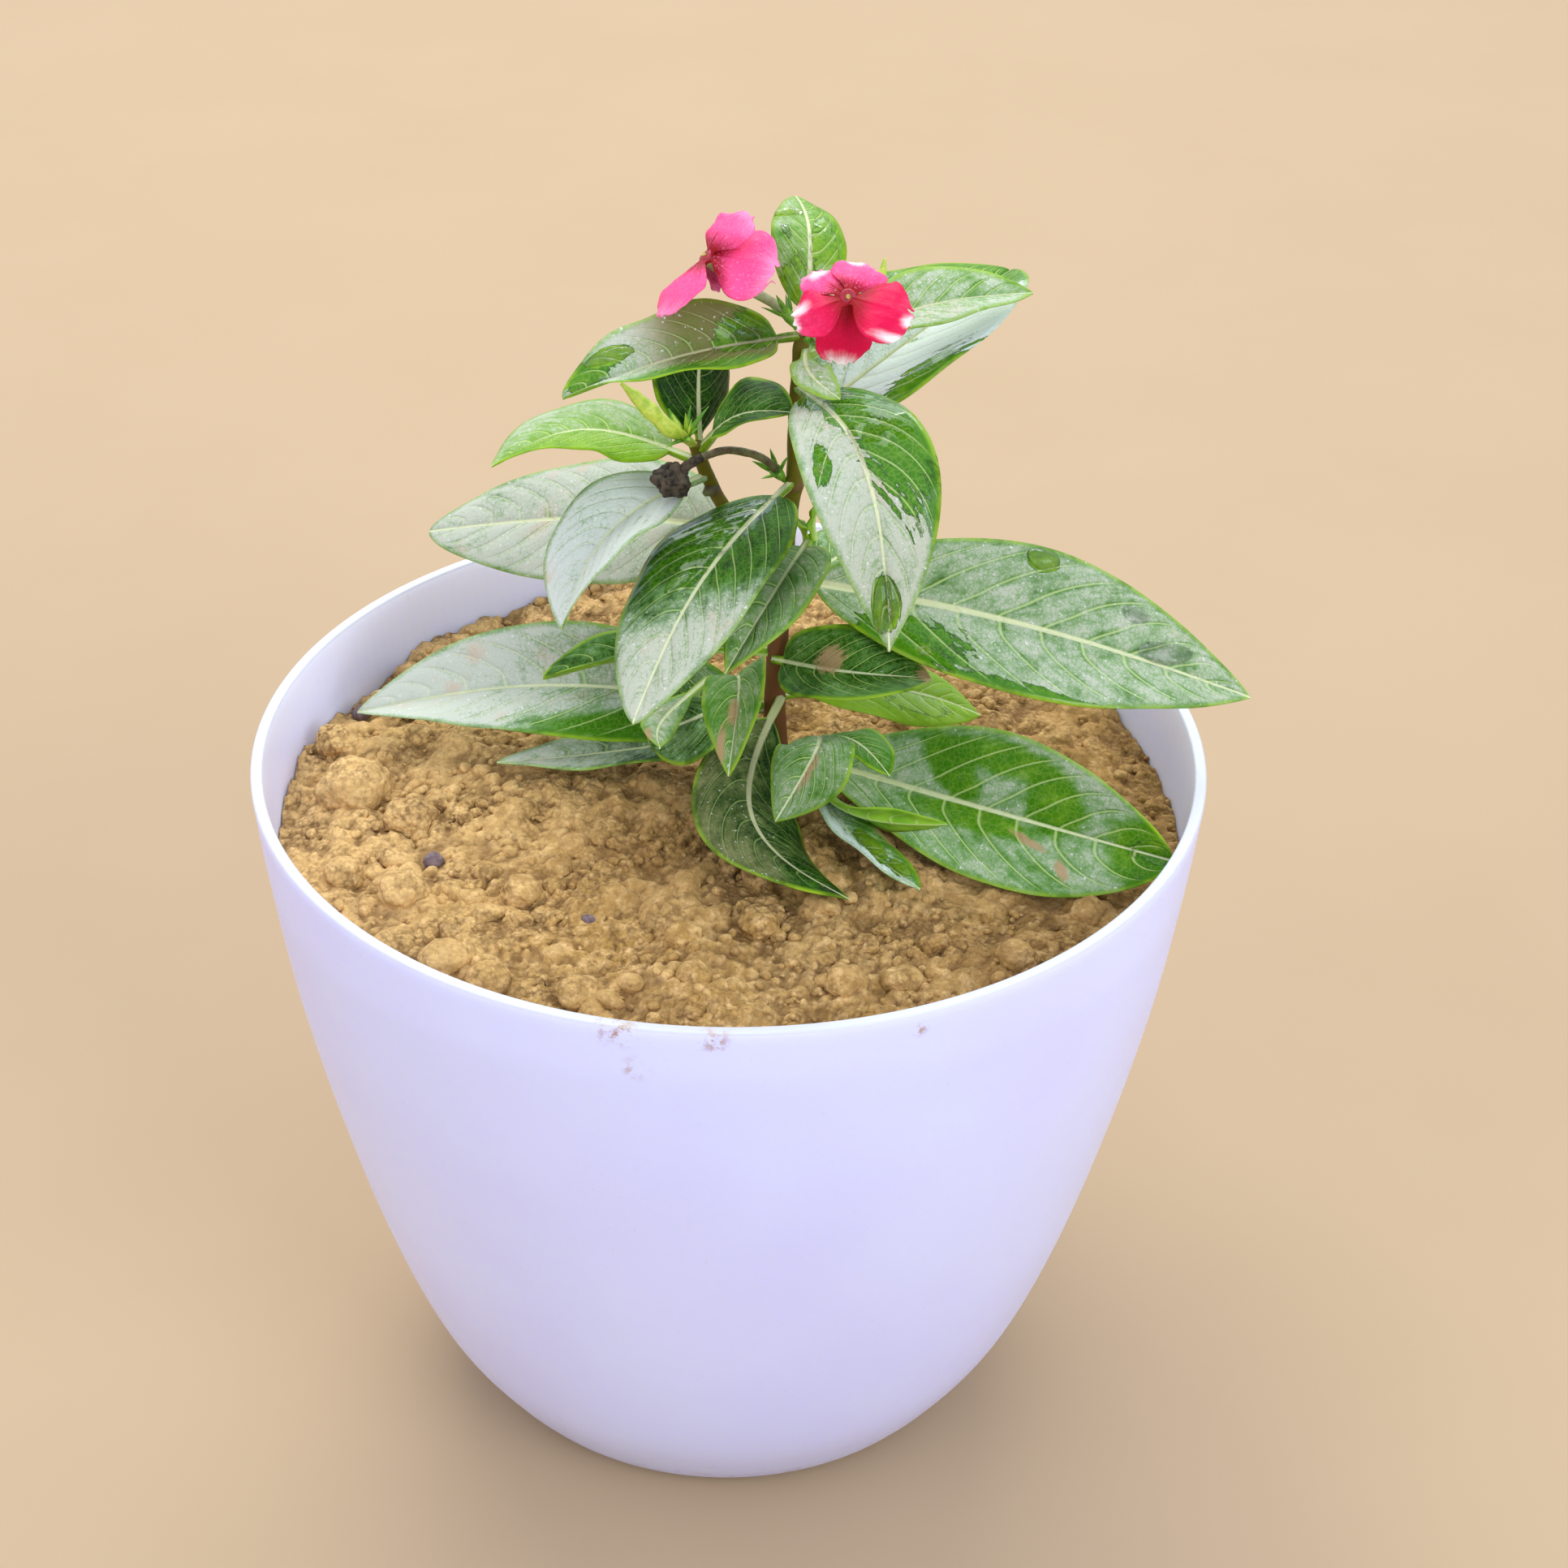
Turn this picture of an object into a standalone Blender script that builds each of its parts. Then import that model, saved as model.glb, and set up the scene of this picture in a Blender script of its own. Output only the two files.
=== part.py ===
"""Potted Madagascar periwinkle.

A tapered white pot filled with dry loam holds one young plant: an upright stem with a side branch,
leaves in crossed pairs, two open flowers, one spent flower and a bud on the side branch.
The origin is under the middle of the pot's base, +Z is up and -Y is the front of the plant.
Sizes are written in millimetres and built in metres.
"""
import math
from typing import NamedTuple

import bmesh
import bpy
from mathutils import Matrix, Vector, noise

MM = 0.001

# The pot
POT_HEIGHT = 160.0
RIM_RADIUS = 100.0
WALL = 2.5
FLOOR = 3.0
LIP_BEVEL = 0.5
POT_SIDES = 48
# (height, outer radius) from the rim down: a long taper that rounds in to a small flat foot
POT_OUTLINE = (
    (POT_HEIGHT - LIP_BEVEL, RIM_RADIUS),
    (140.0, 98.0),
    (112.0, 94.0),
    (80.0, 87.4),
    (48.0, 79.0),
    (24.0, 70.4),
    (8.0, 61.0),
    (2.0, 56.0),
    (0.0, 53.0),
)

# The loam
SEAT_GAP = 0.4
SOIL_MIDDLE = 150.0
SOIL_SIDE_DROP = 8.5
SOIL_RINGS = (0.0, 14.0, 27.0, 39.0, 50.0, 60.0, 69.0, 77.5, 85.0, 91.0)
CLODS = (
    # x, y, radius: the larger lumps that lie by hand on the left and along the front
    (-79.0, -27.0, 4.2),
    (-80.0, 4.0, 7.8),
    (-67.0, -8.0, 5.4),
    (-86.0, 22.0, 4.6),
    (-66.0, -37.0, 5.2),
    (-29.0, -73.0, 4.2),
    (-56.0, -60.0, 5.0),
    (-47.0, -66.0, 4.8),
    (-42.0, -38.0, 4.2),
    (6.0, -50.0, 4.2),
    (-9.0, -56.0, 3.8),
    (57.0, -58.0, 4.2),
    (73.0, -40.0, 3.6),
    (23.0, -69.0, 4.2),
    (-70.0, 38.0, 4.6),
    (72.0, 25.0, 4.0),
)

# Blades and stalks
BLADE_THICKNESS = 0.7
STALK_GAP = 0.55
STALK_WIDTH = 1.8
TIP_WIDTH = 0.5

# Stems as (x, y, z, radius) from the foot up
STEM_FOOT = (10.0, 7.0, 137.0)
STEM_FOOT_RADIUS = 2.6
STEMS = {
    "main": (
        (*STEM_FOOT, STEM_FOOT_RADIUS),
        (10.0, 7.0, 152.0, STEM_FOOT_RADIUS),
        (9.4, 6.2, 165.0, 2.4),
        (9.8, 5.5, 180.0, 2.2),
        (10.6, 5.0, 197.0, 2.0),
        (11.3, 4.5, 208.0, 1.8),
        (12.3, 4.1, 217.5, 1.7),
        (12.5, 4.0, 219.5, 2.05),
        (12.5, 3.9, 221.5, 1.6),
        (12.4, 3.6, 230.0, 1.4),
        (12.8, 3.2, 243.0, 1.3),
        (13.4, 3.0, 250.0, 1.6),
        (13.6, 3.0, 253.5, 1.2),
    ),
    "side": (
        (10.4, 5.0, 196.0, 1.6),
        (4.0, 3.6, 206.5, 1.5),
        (-1.0, 2.3, 214.5, 1.4),
        (-3.8, 1.6, 220.0, 1.4),
        (-6.3, 0.6, 227.0, 1.4),
        (-7.3, 0.2, 230.5, 1.45),
    ),
    "foot_right": (
        (11.7, 3.5, 156.0, 1.1),
        (14.0, -2.5, 161.0, 1.1),
        (17.0, -7.5, 166.0, 0.9),
    ),
    "foot_left": (
        (6.2, 4.9, 166.5, 1.1),
        (1.0, 1.0, 171.5, 1.1),
        (-4.5, -2.5, 177.5, 0.9),
    ),
    "axil": (
        (13.5, 3.0, 204.5, 0.8),
        (15.3, 0.6, 207.3, 0.9),
        (16.3, -0.8, 210.0, 1.1),
    ),
}


class Blade(NamedTuple):
    """One leaf or petal: where its stalk stands, where its tip is and how the sheet between bends."""

    name: str
    stem: str
    height: float
    tip: tuple
    width: float
    arch: float = 5.0
    sway: float = 0.0
    roll: float = 0.0
    twist: float = 0.0
    fold: float = 14.0
    curl: float = 24.0
    belly: float = 0.48
    base_round: float = 0.62
    tip_round: float = 0.85
    stalk: float = 4.0
    wave: float = 0.5
    waves: float = 2.5
    heading: float = None
    rows: int = 10


LEAVES = (
    # the crown
    Blade("leaf_crown_upright", "main", 252.0, (12.4, 34.3, 269), 15.6,
        arch=8.4, sway=2.6, roll=-19, twist=9, fold=3, curl=18, belly=0.42, tip_round=0.78, heading=80),
    Blade("leaf_crown_left", "main", 253.0, (-32.6, -14.6, 247.6), 20,
        arch=2.1, sway=-0.1, roll=26, twist=-45, fold=38, curl=4, belly=0.42, base_round=0.5,
        tip_round=0.6, wave=1),
    Blade("leaf_crown_right", "main", 248.6, (59.7, 17.4, 255.9), 16.7,
        arch=3.3, roll=-17, twist=2, fold=28, curl=14, belly=0.5, tip_round=0.76),
    Blade("leaf_crown_small", "main", 250.2, (20.8, -12.3, 246.8), 8.4,
        arch=1, sway=2.9, roll=-6, twist=-10, fold=17, curl=14, belly=0.51, base_round=0.6, tip_round=0.71,
        stalk=2, rows=6),
    Blade("leaf_back_right", "main", 233.0, (57.4, 43.1, 249.1), 36,
        arch=5.6, sway=5.5, roll=-2, twist=18, fold=28, curl=20, belly=0.42, base_round=0.5, tip_round=0.6),
    Blade("leaf_front_right", "main", 241.9, (30.2, -47.2, 211), 27,
        arch=17.2, sway=-0.7, roll=-5, twist=14, fold=20, curl=13, belly=0.47, tip_round=0.93),
    # the side branch
    Blade("leaf_branch_left", "side", 227.2, (-47.1, -10.7, 230.8), 23,
        arch=3.5, sway=7.1, twist=-45, fold=15, curl=23, belly=0.42, base_round=0.5, tip_round=0.79),
    Blade("leaf_branch_back", "side", 227.2, (-5.9, 18.6, 250.1), 21,
        arch=2.5, sway=-0.7, roll=-40, twist=6, fold=2, curl=34, belly=0.48, rows=8),
    Blade("leaf_branch_right", "side", 230.6, (11.7, -9.6, 242.5), 18.1,
        arch=3.3, sway=0.7, roll=-18, twist=29, fold=20, curl=10, belly=0.49, base_round=0.5,
        tip_round=0.6, rows=8),
    Blade("leaf_left_front", "side", 223.0, (-33.2, -26.4, 203.2), 23.9,
        arch=3.9, sway=4.2, roll=-7, twist=-45, fold=21, curl=7, belly=0.48, base_round=0.52,
        tip_round=0.76),
    Blade("leaf_left_back", "side", 209.4, (-65.5, 42.3, 187.1), 29.3,
        arch=0.7, sway=4.4, roll=41, twist=-8, fold=8, curl=25, belly=0.42, base_round=0.59, tip_round=0.6),
    # the middle of the stem
    Blade("leaf_front_left", "main", 220.2, (-18.8, -48, 195), 30,
        arch=5.3, sway=1.2, roll=-11, fold=12, curl=19, belly=0.43, base_round=0.53, tip_round=0.66),
    Blade("leaf_front_middle", "axil", 209.4, (-1, -39, 200.8), 19.1,
        arch=6.6, sway=-3.1, roll=2, twist=14, fold=24, curl=11, belly=0.44, base_round=0.6,
        tip_round=0.94, rows=8),
    Blade("leaf_right_large", "main", 197.1, (108.5, -1, 173), 34.2,
        arch=5.4, sway=4.2, roll=-36, twist=22, fold=20, curl=18, belly=0.48, base_round=0.66),
    Blade("leaf_middle_dark", "main", 179.1, (41.3, -5.6, 179.9), 19.2,
        arch=2.4, sway=6.7, roll=-37, twist=36, fold=29, curl=5, belly=0.42, base_round=0.5,
        tip_round=0.61, stalk=2, heading=-90),
    Blade("leaf_middle_back", "main", 193.0, (40, 40, 184), 20, arch=5, rows=8),
    Blade("leaf_low_left_back", "main", 179.5, (-39.4, 7.8, 170.9), 16,
        arch=1.6, sway=2.3, roll=-7, twist=5, fold=30, curl=5, belly=0.56, base_round=0.62, tip_round=0.6,
        rows=8),
    # the foot of the plant
    Blade("leaf_low_right_large", "main", 154.0, (90.2, -35, 154.9), 35.1,
        arch=0, sway=0.1, roll=-44, twist=-45, fold=30, curl=5, belly=0.56, base_round=0.72, tip_round=0.6),
    Blade("leaf_low_left_large", "main", 164.5, (-81.7, 28.1, 149.6), 28.6,
        arch=5.6, sway=1.1, roll=44, twist=-45, fold=30, curl=5, belly=0.42, base_round=0.52,
        tip_round=0.76),
    Blade("leaf_low_front", "main", 168.7, (24, -47.4, 153.5), 24.7,
        arch=-3.6, sway=12.7, roll=19, twist=-5, fold=4, curl=30, belly=0.44, base_round=0.72,
        tip_round=0.95),
    Blade("leaf_low_right_back", "main", 168.0, (54.5, 22, 154), 19,
        arch=4, roll=-20, fold=12, belly=0.52, rows=8),
    Blade("leaf_low_left_under", "main", 159.9, (-49.6, 4.7, 151.8), 14.4,
        arch=-2, sway=1.4, roll=3, twist=-9, fold=19, curl=19, tip_round=0.71, rows=8),
)
SHOOT_LEAVES = {
    "shoot_foot_right": (
        Blade("round", "foot_right", 165.3, (9.3, -27.3, 158.6), 17.5,
            arch=12.3, sway=-6.5, roll=-9, twist=9, fold=8, curl=28, belly=0.54, rows=6),
        Blade("wet", "foot_right", 158.6, (38.4, -41.8, 152.4), 12.5,
            arch=-2, sway=2.2, roll=22, twist=-19, fold=25, curl=19, belly=0.56, tip_round=0.66, rows=6),
        Blade("narrow", "foot_right", 160.8, (44.4, -27.9, 158.9), 12.5,
            arch=-2, sway=8, roll=44, twist=40, fold=13, curl=24, belly=0.55, rows=6),
        Blade("short", "foot_right", 165.8, (32.5, -23.3, 167.4), 12.3,
            arch=3.6, sway=-0.9, roll=7, twist=-4, fold=20, curl=20, belly=0.55, tip_round=0.79, rows=6),
    ),
    "shoot_foot_left": (
        Blade("tip", "foot_left", 177.3, (-14.1, -26.6, 175.8), 7.5,
            arch=-3, sway=5, roll=5, twist=16, fold=15, rows=5),
        Blade("low", "foot_left", 171.4, (-17.5, -5.5, 165.7), 18,
            arch=2.9, sway=-6, roll=24, twist=-30, fold=8, curl=30, belly=0.54, tip_round=0.71, rows=6),
        Blade("front", "foot_left", 173.2, (-0.3, -30.5, 171.7), 15.5,
            arch=12.3, sway=-2.3, roll=-26, twist=-17, fold=25, curl=9, belly=0.53, rows=6),
    ),
    "shoot_axil": (
        Blade("left", "axil", 209.0, (11.2, -1.2, 215.3), 5, arch=1, fold=20, curl=10, stalk=1, rows=4),
        Blade("right", "axil", 209.5, (18.3, -1, 219.5), 3.4, arch=1, fold=20, curl=10, stalk=1, rows=4),
    ),
}


class Flower(NamedTuple):
    """One open flower: its calyx, the path of its tube, where it faces and its five petals."""

    name: str
    foot: tuple
    mouth: tuple
    tube: tuple
    throat: tuple
    facing: tuple
    lead: tuple
    petals: tuple


FLOWERS = (
    Flower(
        name="front",
        foot=(14.5, 1.45, 252.8),
        mouth=(16.2, -2.4, 255.0),
        tube=((17.3, -5.5, 257.5), (19.2, -10.5, 263.0)),
        throat=(21.6, -16.8, 270.3),
        facing=(0.05, -0.82, 0.57),
        lead=(0.97, -0.12, -0.19),
        # turn about the throat, reflex, roll, length and width of each petal
        petals=(
            (-3.0, -10.0, 30.0, 12.0, 16.5),
            (79.0, 43.0, 11.0, 10.8, 11.0),
            (148.0, 50.0, -15.0, 12.8, 9.0),
            (216.0, 12.0, -25.0, 10.6, 10.4),
            (281.0, 34.0, 12.0, 13.2, 11.4),
        ),
    ),
    Flower(
        name="side",
        foot=(12.2, 4.0, 254.6),
        mouth=(10.2, 5.6, 257.0),
        tube=((6.5, 6.7, 259.0), (1.4, 4.8, 262.8)),
        throat=(-5.2, 0.6, 270.5),
        facing=(-0.66, -0.11, 0.75),
        lead=(0.75, -0.35, -0.55),
        petals=(
            (43.0, 44.0, -5.0, 13.3, 16.0),
            (96.0, 1.0, -4.0, 10.6, 16.5),
            (150.0, 70.0, 10.0, 8.0, 8.0),
            (216.0, 72.0, 10.0, 8.0, 8.0),
            (283.0, -3.0, -6.0, 14.6, 14.5),
        ),
    ),
)
TUBE_RADIUS = 0.9
THROAT_RADIUS = 1.7
PETAL_THICKNESS = 0.6
SEPAL_LENGTH = 4.0
SEPALS = 5

# The spent flower hangs from the thickened joint of the main stem
SPENT_FOOT = (10.3, 3.3, 221.3)
SPENT_MOUTH = (8.7, 0.6, 224.6)
SPENT_TUBE = (
    (7.2, -1.2, 227.4), (4.0, -2.6, 229.8), (-1.0, -3.8, 231.2), (-6.0, -5.6, 230.6), (-9.4, -7.2, 229.0),
)
SPENT_BALL = (-11.8, -8.2, 226.6)
SPENT_BALL_RADIUS = 3.7

# The bud and its sepals stand on the end of the side branch
BUD = (
    (-8.2, -0.1, 231.0, 0.9),
    (-9.4, -1.7, 232.8, 1.0),
    (-12.6, -3.2, 235.6, 1.7),
    (-17.2, -4.4, 241.2, 1.5),
    (-21.7, -5.2, 246.4, 0.4),
)
BUD_SEPALS = 7
CROWN_BUD = (
    (14.7, 3.0, 254.5, 0.5),
    (20.0, 6.6, 259.2, 0.6),
    (26.0, 8.2, 261.6, 0.8),
    (28.7, 8.4, 263.0, 1.1),
    (29.6, 9.4, 266.6, 0.3),
)

COLOURS = {
    "pot_plastic": ((0.80, 0.79, 0.90), 0.38),
    "loam": ((0.50, 0.33, 0.17), 0.95),
    "stem": ((0.27, 0.30, 0.06), 0.55),
    "leaf": ((0.12, 0.27, 0.08), 0.42),
    "petal": ((0.85, 0.06, 0.22), 0.5),
    "calyx": ((0.12, 0.30, 0.03), 0.5),
    "dried": ((0.06, 0.045, 0.035), 0.9),
}


def clear_scene():
    """Empty the scene."""
    for item in list(bpy.data.objects):
        bpy.data.objects.remove(item, do_unlink=True)


def new_collection(name, hidden=False):
    """A collection under the scene, hidden from renders if it only holds tools for cutting."""
    group = bpy.data.collections.new(name)
    bpy.context.scene.collection.children.link(group)
    group.hide_render = hidden
    return group


def material(name):
    """The named finish, made once."""
    found = bpy.data.materials.get(name)
    if found:
        return found
    colour, roughness = COLOURS[name]
    made = bpy.data.materials.new(name)
    made.use_nodes = True
    shader = made.node_tree.nodes["Principled BSDF"]
    shader.inputs["Base Color"].default_value = (*colour, 1.0)
    shader.inputs["Roughness"].default_value = roughness
    shader.inputs["Metallic"].default_value = 0.0
    return made


def add_object(name, mesh, group, finish):
    """An object for the mesh, in the group, with its finish."""
    mesh.name = name
    item = bpy.data.objects.new(name, mesh)
    mesh.materials.clear()
    mesh.materials.append(material(finish))
    group.objects.link(item)
    return item


def settle(item):
    """Replace the object's mesh by what its modifiers make of it."""
    depsgraph = bpy.context.evaluated_depsgraph_get()
    made = bpy.data.meshes.new_from_object(item.evaluated_get(depsgraph))
    old = item.data
    item.modifiers.clear()
    item.data = made
    made.name = item.name
    bpy.data.meshes.remove(old)
    return item


def fuse(item, pieces, group):
    """Join the pieces into the object as one body and remove them."""
    tools = new_collection(item.name + "_pieces", hidden=True)
    for piece in pieces:
        group.objects.unlink(piece)
        tools.objects.link(piece)
        piece.display_type = "WIRE"
    join = item.modifiers.new("join", "BOOLEAN")
    join.operation = "UNION"
    join.operand_type = "COLLECTION"
    join.collection = tools
    join.solver = "EXACT"
    settle(item)
    for piece in list(tools.objects):
        bpy.data.objects.remove(piece, do_unlink=True)
    bpy.data.collections.remove(tools)
    return item


def turned(name, outline, group, finish):
    """A body of revolution about Z from (radius, height) points."""
    shape = bmesh.new()
    corners = [shape.verts.new((radius * MM, 0.0, height * MM)) for radius, height in outline]
    for first, second in zip(corners, corners[1:]):
        shape.edges.new((first, second))
    mesh = bpy.data.meshes.new(name)
    shape.to_mesh(mesh)
    shape.free()
    item = add_object(name, mesh, group, finish)
    screw = item.modifiers.new("turn", "SCREW")
    screw.steps = POT_SIDES
    screw.render_steps = POT_SIDES
    screw.use_merge_vertices = True
    screw.merge_threshold = 0.0001
    return settle(item)


def pot_radius(height):
    """Outer radius of the pot at a height."""
    rows = POT_OUTLINE
    for (top, top_radius), (low, low_radius) in zip(rows, rows[1:]):
        if height >= low:
            share = (height - low) / (top - low)
            return low_radius + (top_radius - low_radius) * min(share, 1.0)
    return rows[-1][1]


def build_pot(group):
    """The pot: outline down the outside, flat foot, wall and floor of even thickness."""
    inside = [(0.0, FLOOR), (pot_radius(FLOOR) - WALL - 2.0, FLOOR)]
    rows = [(height, pot_radius(height) - WALL) for height, _ in reversed(POT_OUTLINE) if height > FLOOR]
    inside += [(radius, height) for height, radius in rows]
    lip = [(RIM_RADIUS - WALL + LIP_BEVEL, POT_HEIGHT), (RIM_RADIUS - LIP_BEVEL, POT_HEIGHT)]
    outside = [(radius, height) for height, radius in POT_OUTLINE]
    return turned("pot", inside + lip + outside + [(0.0, 0.0)], group, "pot_plastic")


def soil_level(x, y):
    """Height of the loam: level with the front, lower along both sides, crumbly all over."""
    reach = math.hypot(x, y) / RIM_RADIUS
    level = SOIL_MIDDLE - SOIL_SIDE_DROP * reach * abs(x) / RIM_RADIUS
    crumbs = noise.noise(Vector((x / 15.0, y / 15.0, 3.1))) * 2.2
    crumbs += noise.noise(Vector((x / 6.0, y / 6.0, 8.7))) * 0.9
    return level + crumbs * (1.0 if reach > 0.2 else 0.4)


def build_soil(group, cutters):
    """The loam: fills the pot below its level, with clods on top and a plain hole for the stem."""
    low = FLOOR + SEAT_GAP
    top = [(radius, SOIL_MIDDLE) for radius in SOIL_RINGS]
    heights = [SOIL_MIDDLE - 6.0]
    heights += [height for height, _ in POT_OUTLINE if low + 2.0 < height < SOIL_MIDDLE - 15.0]
    side = [(pot_radius(height) - WALL - SEAT_GAP, height) for height in heights]
    foot = [(pot_radius(FLOOR) - WALL - SEAT_GAP - 2.0, low), (0.0, low)]
    soil = turned("soil", top + side + foot, group, "loam")
    rim_height = heights[0] * MM
    for vertex in soil.data.vertices:
        x, y, z = vertex.co / MM
        reach = math.hypot(x, y)
        if vertex.co.z > rim_height - 1e-6:
            level = soil_level(x, y)
            if abs(vertex.co.z - rim_height) < 1e-6:
                level -= 0.8
                radius = pot_radius(level) - WALL - SEAT_GAP
                vertex.co.x *= radius / reach
                vertex.co.y *= radius / reach
            vertex.co.z = level * MM
    clods = [clod(index, *spec, group) for index, spec in enumerate(CLODS)]
    fuse(soil, clods, group)
    bpy.ops.mesh.primitive_cylinder_add(
        vertices=16,
        radius=(STEM_FOOT_RADIUS + SEAT_GAP) * MM,
        depth=30.0 * MM,
        location=(STEM_FOOT[0] * MM, STEM_FOOT[1] * MM, (STEM_FOOT[2] - SEAT_GAP + 15.0) * MM),
    )
    hole = bpy.context.active_object
    hole.name = "stem_hole"
    for owner in list(hole.users_collection):
        owner.objects.unlink(hole)
    cutters.objects.link(hole)
    hole.display_type = "WIRE"
    cut = soil.modifiers.new("hole", "BOOLEAN")
    cut.operation = "DIFFERENCE"
    cut.object = hole
    cut.solver = "EXACT"
    return settle(soil)


def clod(index, x, y, radius, group):
    """One rounded lump of loam, a little more than half out of the surface."""
    ball = bmesh.new()
    bmesh.ops.create_icosphere(ball, subdivisions=2, radius=1.0)
    for vertex in ball.verts:
        bump = 1.0 + 0.22 * noise.noise(vertex.co * 1.3 + Vector((index * 5.0, 0.0, 0.0)))
        flat = Vector((vertex.co.x, vertex.co.y, vertex.co.z * 0.8))
        vertex.co = (flat * bump * radius + Vector((x, y, soil_level(x, y) - radius * 0.1))) * MM
    mesh = bpy.data.meshes.new("clod")
    ball.to_mesh(mesh)
    ball.free()
    return add_object(f"clod_{index}", mesh, group, "loam")


def rod(name, points, group, finish, sides=2):
    """A round stalk through (x, y, z, radius) points, closed at both ends."""
    curve = bpy.data.curves.new(name, "CURVE")
    curve.dimensions = "3D"
    curve.bevel_depth = MM
    curve.bevel_resolution = sides
    curve.use_fill_caps = True
    line = curve.splines.new("POLY")
    line.points.add(len(points) - 1)
    for spot, (x, y, z, radius) in zip(line.points, points):
        spot.co = (x * MM, y * MM, z * MM, 1.0)
        spot.radius = radius
    source = bpy.data.objects.new(name, curve)
    group.objects.link(source)
    depsgraph = bpy.context.evaluated_depsgraph_get()
    mesh = bpy.data.meshes.new_from_object(source.evaluated_get(depsgraph))
    bpy.data.objects.remove(source, do_unlink=True)
    bpy.data.curves.remove(curve)
    shape = bmesh.new()
    shape.from_mesh(mesh)
    bmesh.ops.remove_doubles(shape, verts=shape.verts, dist=1e-6)
    bmesh.ops.recalc_face_normals(shape, faces=shape.faces)
    shape.to_mesh(mesh)
    shape.free()
    return add_object(name, mesh, group, finish)


def stem_spot(stem, height):
    """The point and radius of a stem at a height."""
    points = STEMS[stem]
    for low, high in zip(points, points[1:]):
        if height <= high[2]:
            share = max(0.0, (height - low[2]) / (high[2] - low[2]))
            spot = Vector(low).lerp(Vector(high), share)
            return Vector(spot[:3]), spot[3]
    return Vector(points[-1][:3]), points[-1][3]


def leaf_root(leaf, gap):
    """Where a leaf's stalk begins: on its stem's side that faces the tip."""
    spot, radius = stem_spot(leaf.stem, leaf.height)
    way = Vector(leaf.tip) - spot
    if leaf.heading is not None:
        way = Vector((math.cos(math.radians(leaf.heading)), math.sin(math.radians(leaf.heading)), 0.0))
    way.z = 0.0
    way.normalize()
    return spot + way * (radius + gap)


class BladeShape:
    """The bent sheet of one leaf or petal, as points for shares along (0 to 1) and across (-1 to 1)."""

    def __init__(self, blade, root, tip, root_width=STALK_WIDTH, tip_width=TIP_WIDTH):
        self.blade = blade
        self.root = Vector(root)
        self.chord = Vector(tip) - self.root
        self.ends = (root_width / 2.0, tip_width / 2.0)
        along = self.chord.normalized()
        if blade.heading is None:
            flat = Vector((along.x, along.y, 0.0))
        else:
            turn = math.radians(blade.heading)
            flat = Vector((math.cos(turn), math.sin(turn), 0.0))
        side = flat.cross(Vector((0.0, 0.0, 1.0)))
        self.side = (side - along * side.dot(along)).normalized()
        self.up = self.side.cross(along)

    def middle(self, share):
        """The rib's point."""
        hump = math.sin(math.pi * share)
        bend = self.up * self.blade.arch + self.side * self.blade.sway
        return self.root + self.chord * share + bend * hump

    def half_width(self, share):
        """Half the blade's width: a narrow stalk, then round to the belly and in to the tip."""
        blade = self.blade
        stalk = blade.stalk / self.chord.length
        reach = min(max((share - stalk) / (1.0 - stalk), 0.0), 1.0)
        power = math.log(0.5) / math.log(blade.belly)
        bulge = max(math.sin(math.pi * reach ** power), 0.0)
        swell = bulge ** (blade.base_round + (blade.tip_round - blade.base_round) * reach)
        end = self.ends[0] if share < 0.5 else self.ends[1]
        return max(blade.width / 2.0 * swell, end)

    def point(self, share, across):
        """A point of the sheet in millimetres."""
        blade = self.blade
        step = 0.01
        tangent = (self.middle(share + step) - self.middle(share - step)).normalized()
        side = (self.side - tangent * self.side.dot(tangent)).normalized()
        up = side.cross(tangent)
        roll = Matrix.Rotation(-math.radians(blade.roll + blade.twist * (share - 0.5)), 3, tangent)
        side, up = roll @ side, roll @ up
        out = abs(across)
        reach = out * self.half_width(share)
        lift = math.radians(blade.fold - blade.curl * out / 2.0)
        hand = 1.0 if across > 0.0 else -1.0
        phase = 2.1 if across > 0.0 else 0.0
        fade = math.sin(math.pi * min(max(share, 0.0), 1.0))
        ripple = math.sin(2.0 * math.pi * blade.waves * share + phase) * fade
        raised = reach * math.sin(lift) + blade.wave * out * out * ripple
        return self.middle(share) + side * (hand * reach * math.cos(lift)) + up * raised


def build_blade(name, shape, group, finish, thickness=BLADE_THICKNESS, place=None):
    """A sheet from the shape, split into triangles and then given its thickness."""
    rows = shape.blade.rows
    sheet = bmesh.new()
    bmesh.ops.create_grid(sheet, x_segments=rows, y_segments=4, size=1.0)
    for vertex in sheet.verts:
        even = (vertex.co.x + 1.0) / 2.0
        share = 0.5 * even + 0.5 * (0.5 - 0.5 * math.cos(math.pi * even))
        spot = shape.point(share, vertex.co.y)
        vertex.co = (place @ spot if place else spot) * MM
    bmesh.ops.triangulate(sheet, faces=sheet.faces)
    bmesh.ops.recalc_face_normals(sheet, faces=sheet.faces)
    mesh = bpy.data.meshes.new(name)
    sheet.to_mesh(mesh)
    sheet.free()
    item = add_object(name, mesh, group, finish)
    body = item.modifiers.new("thickness", "SOLIDIFY")
    body.thickness = thickness * MM
    body.offset = 0.0
    return settle(item)


def build_stem(group):
    """The main stem with its side branch, one body."""
    stem = rod("stem", STEMS["main"], group, "stem")
    branch = rod("branch", STEMS["side"], group, "stem")
    return fuse(stem, [branch], group)


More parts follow.
